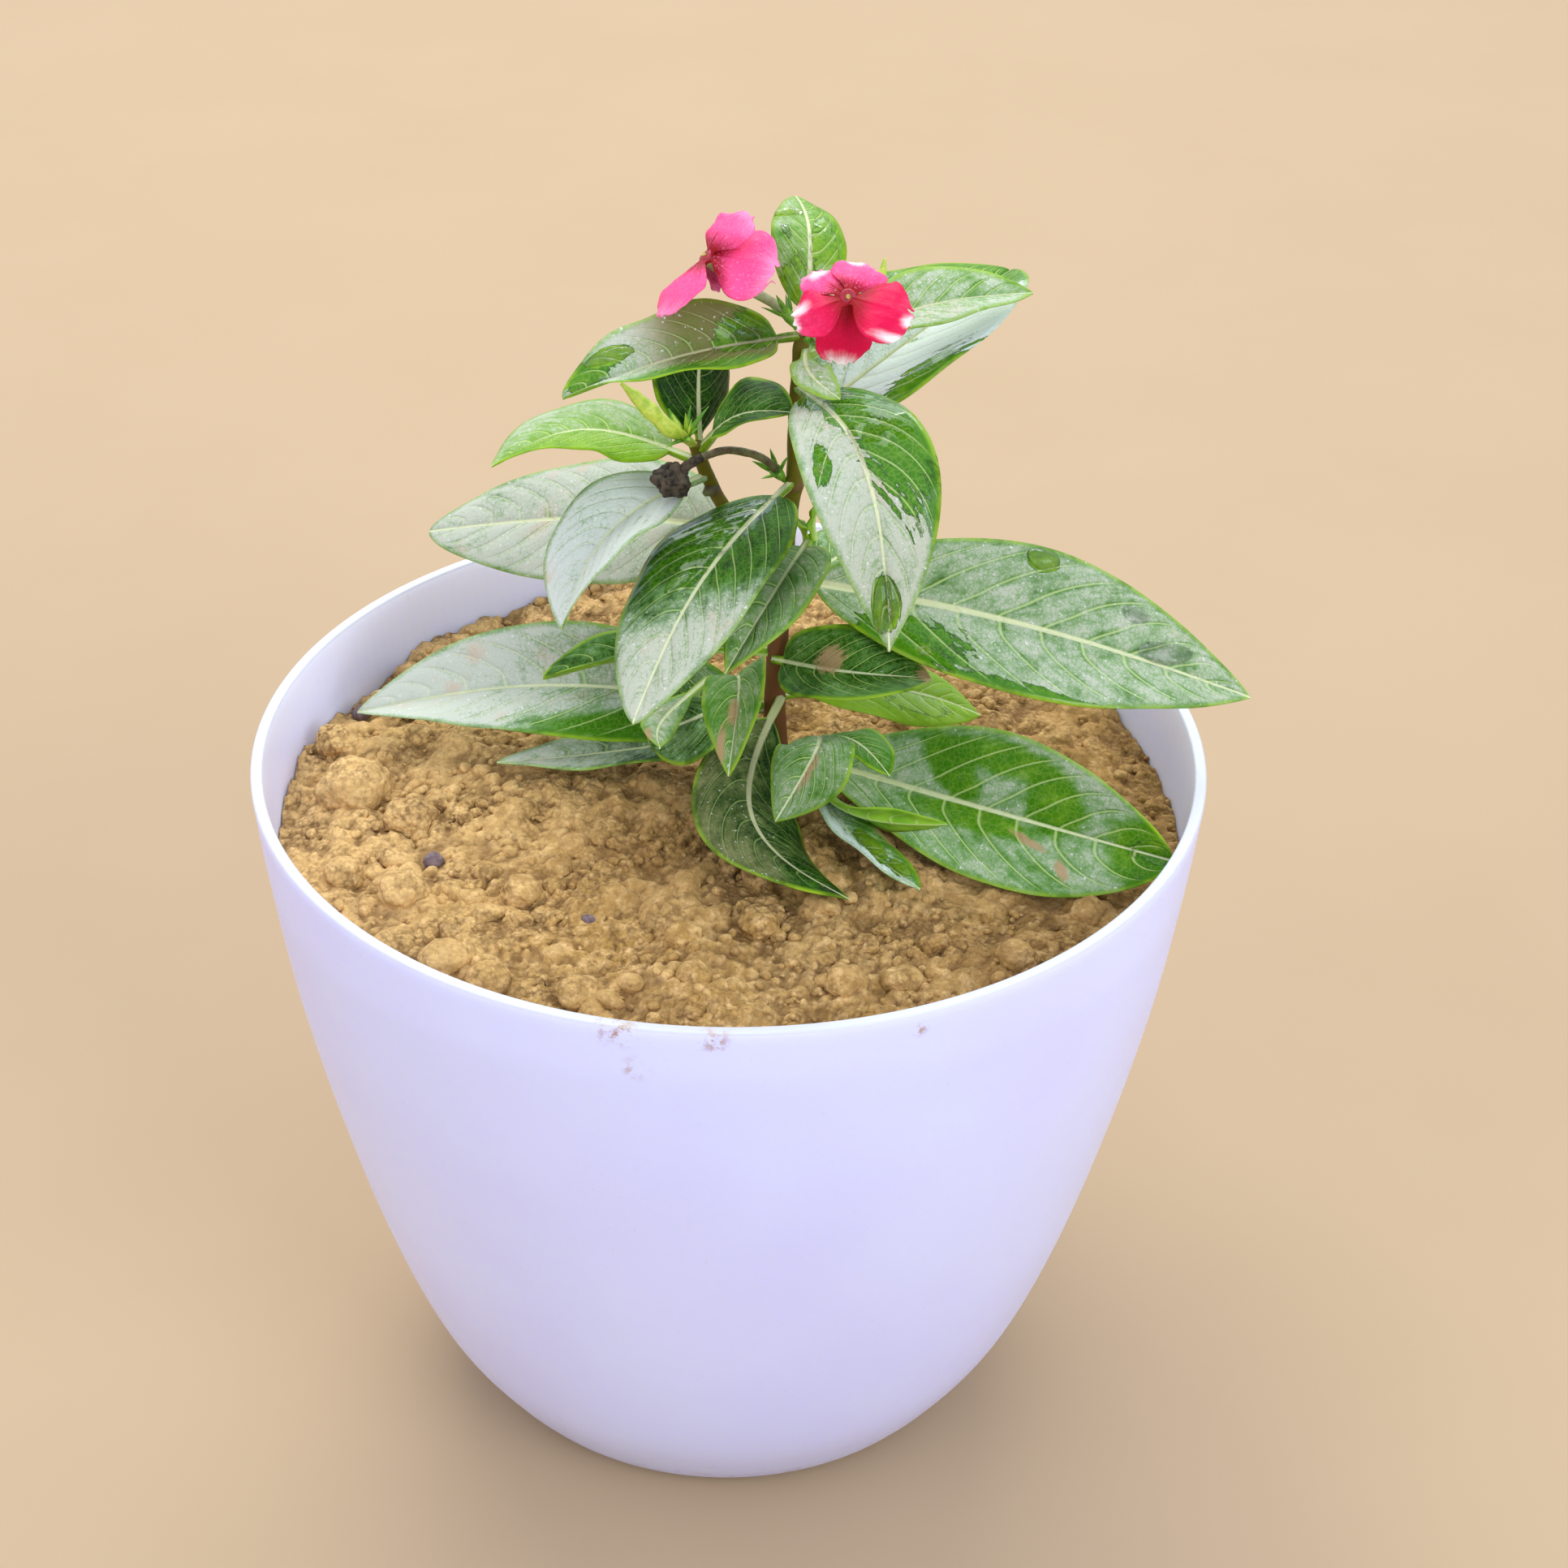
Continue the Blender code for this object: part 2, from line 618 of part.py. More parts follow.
def build_shoot(name, group):
    """A short leafy shoot: its stub and small leaves, one body."""
    leaves = SHOOT_LEAVES[name]
    stub = rod(name, STEMS[leaves[0].stem], group, "leaf", sides=1)
    pieces = []
    for leaf in leaves:
        shape = BladeShape(leaf, leaf_root(leaf, -0.7), leaf.tip)
        pieces.append(build_blade(f"{name}_{leaf.name}", shape, group, "leaf"))
    return fuse(stub, pieces, group)


def facing_frame(place, facing, lead, turn=0.0):
    """A frame in millimetres at a place: Z looks the facing way and X leads, turned about Z."""
    axis = Vector(facing).normalized()
    across = Vector(lead)
    across = (across - axis * across.dot(axis)).normalized()
    basis = Matrix((across, axis.cross(across), axis)).transposed().to_4x4()
    return Matrix.Translation(Vector(place)) @ basis @ Matrix.Rotation(math.radians(turn), 4, "Z")


def spikes(name, place, facing, count, ring, length, flare, group):
    """Narrow sepals in a ring about a facing direction."""
    made = []
    for index in range(count):
        frame = facing_frame(place, facing, (0.3, -1.0, 0.1), 360.0 * index / count)
        lean = Matrix.Rotation(math.radians(flare), 4, "Y")
        spot = frame @ Matrix.Translation(Vector((ring, 0.0, 0.0))) @ lean
        cone = bmesh.new()
        bmesh.ops.create_cone(cone, cap_ends=True, segments=5, radius1=0.55, radius2=0.12, depth=length)
        shift = Matrix.Translation(Vector((0.0, 0.0, length / 2.0 - 0.6)))
        for vertex in cone.verts:
            vertex.co = (spot @ shift @ vertex.co) * MM
        mesh = bpy.data.meshes.new(name)
        cone.to_mesh(mesh)
        cone.free()
        made.append(add_object(f"{name}_{index}", mesh, group, "calyx"))
    return made


def build_calyx(name, foot, mouth, group):
    """A short stalk that widens to a cup, with five narrow sepals round its mouth."""
    start, end = Vector(foot), Vector(mouth)
    middle = start.lerp(end, 0.45)
    cup = rod(name, ((*start, 0.6), (*middle, 1.1), (*end, 1.35)), group, "calyx")
    sepals = spikes(name + "_sepal", end, end - start, SEPALS, 1.55, SEPAL_LENGTH, 24.0, group)
    return fuse(cup, sepals, group)


def build_corolla(flower, group):
    """The tube and five petals of a flower, one body."""
    mouth, throat = Vector(flower.mouth), Vector(flower.throat)
    way = (Vector(flower.tube[0]) - mouth).normalized()
    start = mouth + way * (SEAT_GAP + 0.1)
    end = throat + Vector(flower.facing).normalized() * 0.5
    path = [(*start, TUBE_RADIUS)] + [(*spot, TUBE_RADIUS + 0.15) for spot in flower.tube]
    path += [(*(throat - Vector(flower.facing).normalized() * 2.5), 1.2), (*end, THROAT_RADIUS)]
    tube = rod(f"corolla_{flower.name}", path, group, "petal", sides=1)
    pieces = []
    for index, (turn, reflex, roll, length, width) in enumerate(flower.petals):
        lean = math.radians(reflex)
        petal = Blade(
            "petal", "", 0.0, (), width,
            arch=1.4, roll=roll, fold=-4.0, curl=12.0, belly=0.58,
            base_round=0.65, tip_round=0.38, stalk=0.5, wave=0.5, waves=1.5, heading=0.0, rows=8,
        )
        tip = (0.6 + length * math.cos(lean), 0.0, -length * math.sin(lean))
        shape = BladeShape(petal, (0.5, 0.0, 0.0), tip, root_width=3.0, tip_width=5.0)
        frame = facing_frame(throat, flower.facing, flower.lead, turn)
        piece = build_blade(f"petal_{index}", shape, group, "petal", PETAL_THICKNESS, frame)
        pieces.append(piece)
    return fuse(tube, pieces, group)


def build_spent_flower(group):
    """The brown tube and the crumpled ball at its end, one body."""
    mouth = Vector(SPENT_MOUTH)
    start = mouth + (Vector(SPENT_TUBE[0]) - mouth).normalized() * (SEAT_GAP + 0.1)
    path = [(*start, 0.8)] + [(*spot, 0.85) for spot in SPENT_TUBE] + [(*SPENT_BALL, 1.2)]
    tube = rod("spent_flower", path, group, "dried", sides=1)
    ball = bmesh.new()
    bmesh.ops.create_icosphere(ball, subdivisions=3, radius=1.0)
    for vertex in ball.verts:
        crumple = 1.0 + 0.42 * noise.noise(vertex.co * 1.9 + Vector((4.0, 1.0, 2.0)))
        vertex.co = (vertex.co * crumple * SPENT_BALL_RADIUS + Vector(SPENT_BALL)) * MM
    mesh = bpy.data.meshes.new("ball")
    ball.to_mesh(mesh)
    ball.free()
    return fuse(tube, [add_object("ball", mesh, group, "dried")], group)


def build_bud(group):
    """The side branch's closed bud with the narrow sepals that stand round it."""
    bud = rod("bud", BUD, group, "calyx", sides=1)
    sepals = spikes("bud_sepal", Vector(BUD[1][:3]), (-0.3, -0.2, 0.9), BUD_SEPALS, 0.5, 6.0, 38.0, group)
    return fuse(bud, sepals, group)


def main():
    """Build the pot, the loam and the plant."""
    clear_scene()
    group = new_collection("potted_periwinkle")
    cutters = new_collection("cutters", hidden=True)
    build_pot(group)
    build_soil(group, cutters)
    build_stem(group)
    for leaf in LEAVES:
        build_blade(leaf.name, BladeShape(leaf, leaf_root(leaf, STALK_GAP), leaf.tip), group, "leaf")
    for name in SHOOT_LEAVES:
        build_shoot(name, group)
    for flower in FLOWERS:
        build_calyx(f"calyx_{flower.name}", flower.foot, flower.mouth, group)
        build_corolla(flower, group)
    build_calyx("calyx_spent", SPENT_FOOT, SPENT_MOUTH, group)
    build_spent_flower(group)
    build_bud(group)
    rod("bud_crown", CROWN_BUD, group, "calyx", sides=1)


main()
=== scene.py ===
"""The looks of a potted Madagascar periwinkle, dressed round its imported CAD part.

Sizes are written in millimetres and degrees and built in metres. The origin is under the middle of the
pot's base, +Z is up and -Y is the front of the plant.
"""

import logging
import math
from dataclasses import dataclass
from enum import Enum
from functools import cache
from typing import Sequence

import bmesh
import bpy
import numpy as np
from mathutils import Matrix, Vector, noise


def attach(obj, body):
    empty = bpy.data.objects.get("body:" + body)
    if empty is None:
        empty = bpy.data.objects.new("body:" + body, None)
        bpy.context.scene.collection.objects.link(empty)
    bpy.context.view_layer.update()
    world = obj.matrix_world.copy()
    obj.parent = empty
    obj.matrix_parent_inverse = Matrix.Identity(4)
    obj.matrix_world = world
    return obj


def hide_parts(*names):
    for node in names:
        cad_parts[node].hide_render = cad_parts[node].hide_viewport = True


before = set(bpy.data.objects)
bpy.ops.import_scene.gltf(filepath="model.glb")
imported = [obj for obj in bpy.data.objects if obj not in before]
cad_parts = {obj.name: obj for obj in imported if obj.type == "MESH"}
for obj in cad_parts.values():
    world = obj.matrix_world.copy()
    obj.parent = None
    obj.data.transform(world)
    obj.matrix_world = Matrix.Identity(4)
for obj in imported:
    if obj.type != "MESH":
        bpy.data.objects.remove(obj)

LOG = logging.getLogger("periwinkle")
MM = 0.001
BODY = "root"
STEM_FOOT = (10.0, 7.0)
NOWHERE = -3.0
FULL_TURN = 6.28
Point = tuple[float, float, float]
Row = tuple[float, float, float, float]
Colour = tuple[float, float, float]


class Value:
    """A node's result, which takes part in a formula like a number."""

    def __init__(self, tree: "Formulas", socket: bpy.types.NodeSocket) -> None:
        """Keep the result's tree and socket."""
        self.tree = tree
        self.socket = socket

    def __add__(self, other: "Value | float") -> "Value":
        """The sum."""
        return self.tree.math("ADD", self, other)

    def __sub__(self, other: "Value | float") -> "Value":
        """The difference."""
        return self.tree.math("SUBTRACT", self, other)

    def __rsub__(self, other: float) -> "Value":
        """A number less the value."""
        return self.tree.math("SUBTRACT", other, self)

    def __mul__(self, other: "Value | float") -> "Value":
        """The product."""
        return self.tree.math("MULTIPLY", self, other)

    def __truediv__(self, other: "Value | float") -> "Value":
        """The quotient."""
        return self.tree.math("DIVIDE", self, other)

    def __rtruediv__(self, other: float) -> "Value":
        """A number divided by the value."""
        return self.tree.math("DIVIDE", other, self)

    __radd__ = __add__
    __rmul__ = __mul__


Term = Value | float | Colour


class Formulas:
    """A node tree that is written as formulas."""

    def __init__(self, tree: bpy.types.NodeTree) -> None:
        """Take the tree to write in."""
        self.tree = tree

    def feed(self, socket: bpy.types.NodeSocket, value: object) -> None:
        """Link an input to a result or set it.

        Args:
            socket: The input.
            value: A result, number, colour, vector or material, or None to leave the input alone.
        """
        if isinstance(value, Value):
            self.tree.links.new(value.socket, socket)
        elif value is not None:
            socket.default_value = (*value, 1.0) if socket.type == "RGBA" else value

    def node(
        self, kind: str, *values: object, output: int = 0, named: dict[str, object] | None = None,
        **settings: object,
    ) -> Value:
        """Add a node and feed it.

        Args:
            kind: The node's type name.
            values: Values for its shown inputs, in order.
            output: Which of its shown outputs is wanted.
            named: Values for inputs by their names.
            settings: Properties of the node.

        Returns:
            The output.
        """
        made = self.tree.nodes.new(kind)
        for key, value in settings.items():
            setattr(made, key, value)
        for socket, value in zip([socket for socket in made.inputs if socket.enabled], values):
            self.feed(socket, value)
        for key, value in (named or {}).items():
            self.feed(made.inputs[key], value)
        return Value(self, [socket for socket in made.outputs if socket.enabled][output])

    def math(self, operation: str, first: Term, second: Term = 0.0) -> Value:
        """One Math node's result."""
        return self.node("ShaderNodeMath", first, second, operation=operation)


class ShaderTree(Formulas):
    """A material on one Principled shader."""

    def __init__(self, name: str) -> None:
        """Start the material.

        Args:
            name: The finish's name.
        """
        self.material = bpy.data.materials.new(name)
        self.material.use_nodes = True
        super().__init__(self.material.node_tree)
        self.shader = self.tree.nodes["Principled BSDF"]
        self.place = self.node("ShaderNodeTexCoord", output=3)

    def mix(self, share: Term, first: Term, second: Term) -> Value:
        """Two colours mixed by a share from 0 to 1."""
        return self.node("ShaderNodeMix", share, first, second, data_type="RGBA")

    def layers(self, base: Term, *coats: tuple[Term, Term]) -> Term:
        """A colour under several coats.

        Args:
            base: The lowest colour.
            coats: The share that each coat covers and its colour, from the lowest up.

        Returns:
            The colour that shows.
        """
        for share, colour in coats:
            base = self.mix(share, base, colour)
        return base

    def step(self, value: Term, low: float, high: float, start: float = 0.0, end: float = 1.0) -> Value:
        """A smooth step from start at low to end at high."""
        return self.node("ShaderNodeMapRange", value, low, high, start, end, interpolation_type="SMOOTHSTEP")

    def noise(
        self, size: float, detail: float = 3.0, vector: Value | None = None, rough: float = 0.55
    ) -> Value:
        """Noise with features of a size in millimetres, from 0 to 1."""
        place, scale = vector or self.place, 1.0 / (size * MM)
        return self.node("ShaderNodeTexNoise", place, scale, detail, rough)

    def cells(self, size: float, feature: str = "DISTANCE_TO_EDGE") -> Value:
        """Distance in a pattern of cells of a size in millimetres."""
        named = {"Vector": self.place, "Scale": 1.0 / (size * MM)}
        return self.node("ShaderNodeTexVoronoi", named=named, feature=feature)

    def field(self, name: str) -> Value:
        """A number that the mesh carries on its vertices."""
        return self.node("ShaderNodeAttribute", output=2, attribute_name=name)

    def axis(self, which: int) -> Value:
        """One coordinate of the place in millimetres."""
        return self.node("ShaderNodeSeparateXYZ", self.place, output=which) / MM

    def near(self, spot: Point, radius: float) -> Value:
        """1 at a spot in millimetres, falling to 0 at a radius from it.

        Args:
            spot: The spot.
            radius: The radius.

        Returns:
            The number from 0 to 1.
        """
        spot_m = tuple(value * MM for value in spot)
        away = self.node("ShaderNodeVectorMath", self.place, spot_m, operation="DISTANCE")
        return self.step(away, 0.0, radius * MM, 1.0, 0.0)

    def bump(self, height: Term, strength: float = 1.0) -> Value:
        """A normal from a height in millimetres."""
        return self.node("ShaderNodeBump", named={"Strength": strength, "Distance": MM, "Height": height})

    def finish(self, **inputs: object) -> bpy.types.Material:
        """Set the shader's inputs by name, with _ for a space, and return the material.

        Args:
            inputs: Values of the shader's inputs.

        Returns:
            The material.
        """
        for key, value in inputs.items():
            self.feed(self.shader.inputs[key.replace("_", " ")], value)
        return self.material


class GrowthTree(Formulas):
    """A Geometry Nodes tree with named sizes, for one finish."""

    def __init__(self, name: str, finish: bpy.types.Material) -> None:
        """Start a tree that takes a mesh and gives a mesh.

        Args:
            name: What the tree does.
            finish: The finish of what it makes.
        """
        super().__init__(bpy.data.node_groups.new(f"{name}_{finish.name}", "GeometryNodeTree"))
        for way in ("INPUT", "OUTPUT"):
            self.tree.interface.new_socket("Geometry", in_out=way, socket_type="NodeSocketGeometry")
        self.source = self.tree.nodes.new("NodeGroupInput")
        self.result = self.tree.nodes.new("NodeGroupOutput")
        self.finish = finish
        self.keys: dict[str, str] = {}

    @property
    def shape(self) -> Value:
        """The mesh that the tree takes."""
        return Value(self, self.source.outputs[0])

    def size(self, name: str, kind: str, value: object) -> Value:
        """A named input of the tree.

        Args:
            name: The input's name.
            kind: Float or Int.
            value: Its usual value.

        Returns:
            The input inside the tree.
        """
        socket = self.tree.interface.new_socket(name, in_out="INPUT", socket_type=f"NodeSocket{kind}")
        socket.default_value = value
        self.keys[name] = socket.identifier
        return Value(self, self.source.outputs[name])

    def draw(self, low: Term, high: Term, seed: Term) -> Value:
        """A random number or vector for each point."""
        kind = "FLOAT_VECTOR" if isinstance(low, tuple) else "FLOAT"
        return self.node("FunctionNodeRandomValue", low, high, None, seed, data_type=kind)

    def scaled(self, vector: Value, share: Value) -> Value:
        """A vector times a number."""
        return self.node("ShaderNodeVectorMath", named={"Vector": vector, "Scale": share}, operation="SCALE")

    def copies(self, points: Value, shape: Value, turn: Value, scale: Value) -> Value:
        """The shape on every point, turned and scaled.

        Args:
            points: The points.
            shape: The shape.
            turn: Euler angles.
            scale: The scale.

        Returns:
            The instances.
        """
        rotation = self.node("FunctionNodeEulerToRotation", turn)
        named = {"Points": points, "Instance": shape, "Rotation": rotation, "Scale": scale}
        return self.node("GeometryNodeInstanceOnPoints", named=named)

    def pushed(self, surface: Value, scale: Value, reach: Value) -> Value:
        """A surface pushed in and out along its normals.

        Args:
            surface: The surface.
            scale: One over the size of a lump.
            reach: How far the noise reaches in all.

        Returns:
            The lumpy surface.
        """
        out = (self.node("ShaderNodeTexNoise", named={"Scale": scale}) - 0.5) * reach
        push = self.scaled(self.node("GeometryNodeInputNormal"), out)
        return self.node("GeometryNodeSetPosition", surface, None, None, push)

    def close(self, geometry: Value) -> None:
        """End the tree: instances made real, smooth faces and the finish.

        Args:
            geometry: What the tree has made.
        """
        real = self.node("GeometryNodeRealizeInstances", geometry)
        smooth = self.node("GeometryNodeSetShadeSmooth", real)
        painted = self.node("GeometryNodeSetMaterial", named={"Geometry": smooth, "Material": self.finish})
        self.feed(self.result.inputs[0], painted)

    def grow(self, item: bpy.types.Object, **sizes: float) -> bpy.types.Mesh:
        """Run the tree on an object and take the plain mesh.

        Args:
            item: The object, which is removed afterwards.
            sizes: Values of the named inputs, with _ for a space.

        Returns:
            The finished mesh.
        """
        modifier = item.modifiers.new("growth", "NODES")
        modifier.node_group = self.tree
        for name, value in sizes.items():
            modifier[self.keys[name.replace("_", " ")]] = value
        depsgraph = bpy.context.evaluated_depsgraph_get()
        mesh = bpy.data.meshes.new_from_object(item.evaluated_get(depsgraph))
        item.modifiers.remove(modifier)
        bpy.data.objects.remove(item, do_unlink=True)
        return mesh


class TurnedTree(GrowthTree):
    """Turns an outline of (radius, 0, height) points about Z."""

    def __init__(self, finish: bpy.types.Material) -> None:
        """Build the tree for one finish.

        Args:
            finish: The finish of what it makes.
        """
        super().__init__("turned", finish)
        sides = self.size("Sides", "Int", 96)
        place = self.node("GeometryNodeInputPosition")
        count = self.node("GeometryNodeAttributeDomainSize", self.shape)
        sheet = self.node("GeometryNodeMeshGrid", 1.0, 1.0, sides + 1.0, count)
        x, y = (self.node("ShaderNodeSeparateXYZ", place, output=which) for which in range(2))
        row = self.math("ROUND", (y + 0.5) * (count - 1.0))
        spot = self.node("GeometryNodeSampleIndex", self.shape, place, row, data_type="FLOAT_VECTOR")
        named = {"Vector": spot, "Angle": (x + 0.5) * (2.0 * math.pi)}
        spun = self.node("ShaderNodeVectorRotate", named=named, rotation_type="Z_AXIS")
        bent = self.node("GeometryNodeSetPosition", sheet, None, spun)
        self.close(self.node("GeometryNodeMergeByDistance", bent, None, 1e-6))


class StalkTree(GrowthTree):
    """Sweeps a round stalk along a line that carries its radius, with a lumpy skin."""

    def __init__(self, finish: bpy.types.Material) -> None:
        """Build the tree for one finish.

        Args:
            finish: The finish of what it makes.
        """
        super().__init__("stalk", finish)
        sides = self.size("Sides", "Int", 20)
        lump = self.size("Lump", "Float", 0.0)
        lump_size = self.size("Lump size", "Float", 2.0 * MM)
        curve = self.node("GeometryNodeMeshToCurve", self.shape)
        ring = self.node("GeometryNodeCurvePrimitiveCircle", sides, 1.0)
        width = self.node("GeometryNodeInputNamedAttribute", "radius", data_type="FLOAT")
        tube = self.node("GeometryNodeCurveToMesh", curve, ring, width, True)
        self.close(self.pushed(tube, 1.0 / lump_size, lump))


class RingTree(GrowthTree):
    """Repeats the input shape in a ring about Z, leaning outwards."""

    def __init__(self, finish: bpy.types.Material) -> None:
        """Build the tree for one finish.

        Args:
            finish: The finish of what it makes.
        """
        super().__init__("ring", finish)
        count = self.size("Count", "Int", 5)
        ring = self.size("Ring", "Float", MM)
        flare = self.size("Flare", "Float", 0.4)
        seed = self.size("Seed", "Int", 1)
        circle = self.node("GeometryNodeMeshCircle", count, ring, fill_type="NONE")
        turn = self.node("GeometryNodeInputIndex") * (2.0 * math.pi) / count
        lean = flare * self.draw(0.75, 1.3, seed)
        euler = self.node("ShaderNodeCombineXYZ", 0.0, lean, turn)
        self.close(self.copies(circle, self.shape, euler, self.draw(0.85, 1.15, seed + 1.0)))


class CrumbTree(GrowthTree):
    """Scatters lumps over the input surface, each with its own broken shape."""

    def __init__(self, finish: bpy.types.Material, detail: int) -> None:
        """Build the tree for one finish and one fineness of lump.

        Args:
            finish: The finish of what it makes.
            detail: Fineness of a lump.
        """
        super().__init__(f"crumbs_{detail}", finish)
        density = self.size("Density", "Float", 1000.0)
        small = self.size("Smallest", "Float", 0.5 * MM)
        large = self.size("Largest", "Float", 2.0 * MM)
        seed = self.size("Seed", "Int", 1)
        named = {"Mesh": self.shape, "Density": density, "Seed": seed}
        spread = self.node("GeometryNodeDistributePointsOnFaces", named=named, distribute_method="RANDOM")
        lump = self.node("GeometryNodeMeshIcoSphere", 1.0, detail)
        radius = small + self.math("POWER", self.draw(0.0, 1.0, seed), 2.5) * (large - small)
        sized = self.scaled(self.draw((0.75, 0.75, 0.55), (1.2, 1.2, 0.95), seed), radius)
        turn = self.draw((-0.5, -0.5, 0.0), (0.5, 0.5, FULL_TURN), seed)
        real = self.node("GeometryNodeRealizeInstances", self.copies(spread, lump, turn, sized))
        self.close(self.pushed(real, 0.8 / large, large * 0.9))


@dataclass(frozen=True)
class PotPlastic:
    """White satin plastic with a cool tint, faint flow clouds and a few soil marks at the front lip, its
    inner wall painted brighter as a glow of light through the wall, and the top of its lip a greyer white
    painted darker as shade against the light on it.
    """

    body: Colour = (0.68, 0.71, 1.0)
    shade: Colour = (0.66, 0.67, 0.98)
    inside: Colour = (0.96, 0.95, 0.99)
    lip: Colour = (0.56, 0.57, 0.60)
    stain: Colour = (0.40, 0.21, 0.06)
    taper: float = 0.104
    taper_radius: float = 82.1
    marks: tuple[tuple[Point, float], ...] = (
        ((-21.0, -97.5, 159.0), 6.0),
        ((-2.5, -100.0, 158.0), 4.4),
        ((-17.0, -97.0, 150.0), 4.0),
        ((36.0, -93.0, 156.0), 2.5),
    )

    def material(self) -> bpy.types.Material:
        """Build the finish.

        Returns:
            The material.
        """
        t = ShaderTree("pot_plastic")
        x, y, height = t.axis(0), t.axis(1), t.axis(2)
        reach = t.math("SQRT", x * x + y * y)
        within = t.step(self.taper * height + self.taper_radius - reach, 0.9, 1.5)
        smear = t.step(t.noise(2.2, 5.0, rough=0.7), 0.47, 0.6)
        soiled = t.step(height, 0.0, 26.0, 0.5, 0.0) * t.step(t.noise(5.0, 4.0), 0.55, 0.8)
        for spot, radius in self.marks:
            soiled = t.math("MAXIMUM", soiled, t.near(spot, radius) * smear)
        colour = t.layers(
            self.body,
            (t.step(t.noise(60.0, 2.0), 0.35, 0.7), self.shade),
            # painted light: the inner wall above the loam is painted near white, standing in for light that
            # shines through the thin wall
            (within * t.step(height, 120.0, 130.0), self.inside),
            # the lip's top ring: its own greyer white, painted darker as shade that offsets the strong light
            # falling on the top
            (t.step(height, 159.3, 159.8), self.lip),
            (0.10 * t.step(t.noise(1.1, 3.0), 0.66, 0.74), self.stain),
            (0.85 * soiled, self.stain),
        )
        return t.finish(
            Base_Color=colour, Roughness=t.step(t.noise(14.0, 4.0), 0.3, 0.8, 0.30, 0.42),
            Subsurface_Weight=0.5, Subsurface_Radius=(1.0, 1.0, 0.7), Subsurface_Scale=4.0 * MM,
            Normal=t.bump(0.25 * t.noise(22.0, 2.0) + 0.006 * t.noise(0.7, 2.0), 0.6),
        )


@dataclass(frozen=True)
class Loam:
    """Dry tan loam: paler on its crests, with painted shade darkening its pits and cracks, a painted shadow
    under the plant and fine grit.
    """

    crest: Colour = (0.86, 0.565, 0.225)
    body: Colour = (0.41, 0.235, 0.056)
    pit_shade: Colour = (0.15, 0.072, 0.020)
    damp_and_shadow: Colour = (0.27, 0.14, 0.04)
    # plant: the spot under the leaves round which a painted shadow darkens the loam
    plant: Point = (-10.0, -20.0, 152.0)

    def material(self) -> bpy.types.Material:
        """Build the finish.

        Returns:
            The material.
        """
        t = ShaderTree("loam")
        x, y = t.axis(0), t.axis(1)
        grain, crumb = t.noise(0.55, 4.0, rough=0.7), t.noise(2.6, 4.0)
        coarse, fine = t.cells(2.1, "F1"), t.cells(0.95, "F1")
        granular = t.step(t.noise(15.0, 2.0), 0.38, 0.62, 0.35, 0.9)
        between = t.step(coarse, 0.44, 0.68, 0.0, 0.48) + t.step(fine, 0.44, 0.66, 0.0, 0.36)
        colour = t.layers(
            self.body,
            (t.step(crumb, 0.4, 0.78), self.crest),
            (0.35 * t.step(t.noise(24.0, 4.0), 0.3, 0.7), self.crest),
            (t.step(x, -20.0, -80.0, 0.0, 0.55), self.crest),
            (t.step(y, 25.0, 80.0, 0.0, 0.4), self.crest),
            (t.step(x, 20.0, 85.0, 0.0, 0.30), self.damp_and_shadow),
            # painted shadow: the loam darkens round the spot under the leaves, as if shaded by them; the same
            # colour also makes the damp patches
            (0.42 * t.near(self.plant, 52.0), self.damp_and_shadow),
            (0.4 * t.step(t.noise(17.0, 3.0), 0.56, 0.7), self.damp_and_shadow),
            # painted shade: low spots between crumbs, fine pits and the cracks between cells are darkened as
            # if shade fell in them
            (t.step(t.field("crest"), -0.1, -1.3, 0.0, 0.85), self.pit_shade),
            (0.35 * t.step(grain, 0.56, 0.72), self.crest),
            (0.5 * t.step(grain, 0.44, 0.3), self.pit_shade),
            (between * granular, self.pit_shade),
        )
        rise = 0.24 * grain + 0.35 * crumb - granular * (0.85 * coarse + 0.42 * fine)
        return t.finish(
            Base_Color=colour, Roughness=t.step(grain, 0.3, 0.7, 0.86, 0.98), Specular_IOR_Level=0.2,
            Normal=t.bump(rise),
        )


@dataclass(frozen=True)
class StemBark:
    """Green stem that turns olive and then reddish brown towards its foot."""

    top: Colour = (0.13, 0.105, 0.003)
    middle: Colour = (0.19, 0.17, 0.015)
    foot: Colour = (0.16, 0.06, 0.02)
    scar: Colour = (0.17, 0.085, 0.03)
    knot_height: float = 219.6
    wander: float = 34.0
    streak_scale: float = 0.12

    def material(self) -> bpy.types.Material:
        """Build the finish.

        Returns:
            The material.
        """
        t = ShaderTree("stem_bark")
        height, blotch = t.axis(2), t.noise(5.0, 4.0)
        along = self.streak_scale * MM * height
        drawn_out = t.node("ShaderNodeCombineXYZ", MM * t.axis(0), MM * t.axis(1), along)
        streak = t.noise(2.4, 4.0, drawn_out)
        shifted = height + self.wander * (blotch - 0.5)
        knot = t.math("ABSOLUTE", height - self.knot_height)
        colour = t.layers(
            self.foot,
            (t.step(shifted, 186.0, 204.0), self.middle),
            (t.step(shifted, 208.0, 226.0), self.top),
            (t.step(knot, 0.4, 1.5, 0.75, 0.0), self.scar),
            (0.35 * t.step(blotch, 0.55, 0.75), self.scar),
        )
        return t.finish(
            Base_Color=colour, Roughness=t.step(streak, 0.3, 0.7, 0.4, 0.62), Specular_IOR_Level=0.25,
            Normal=t.bump(0.12 * blotch + 0.05 * t.noise(0.5, 3.0)),
        )


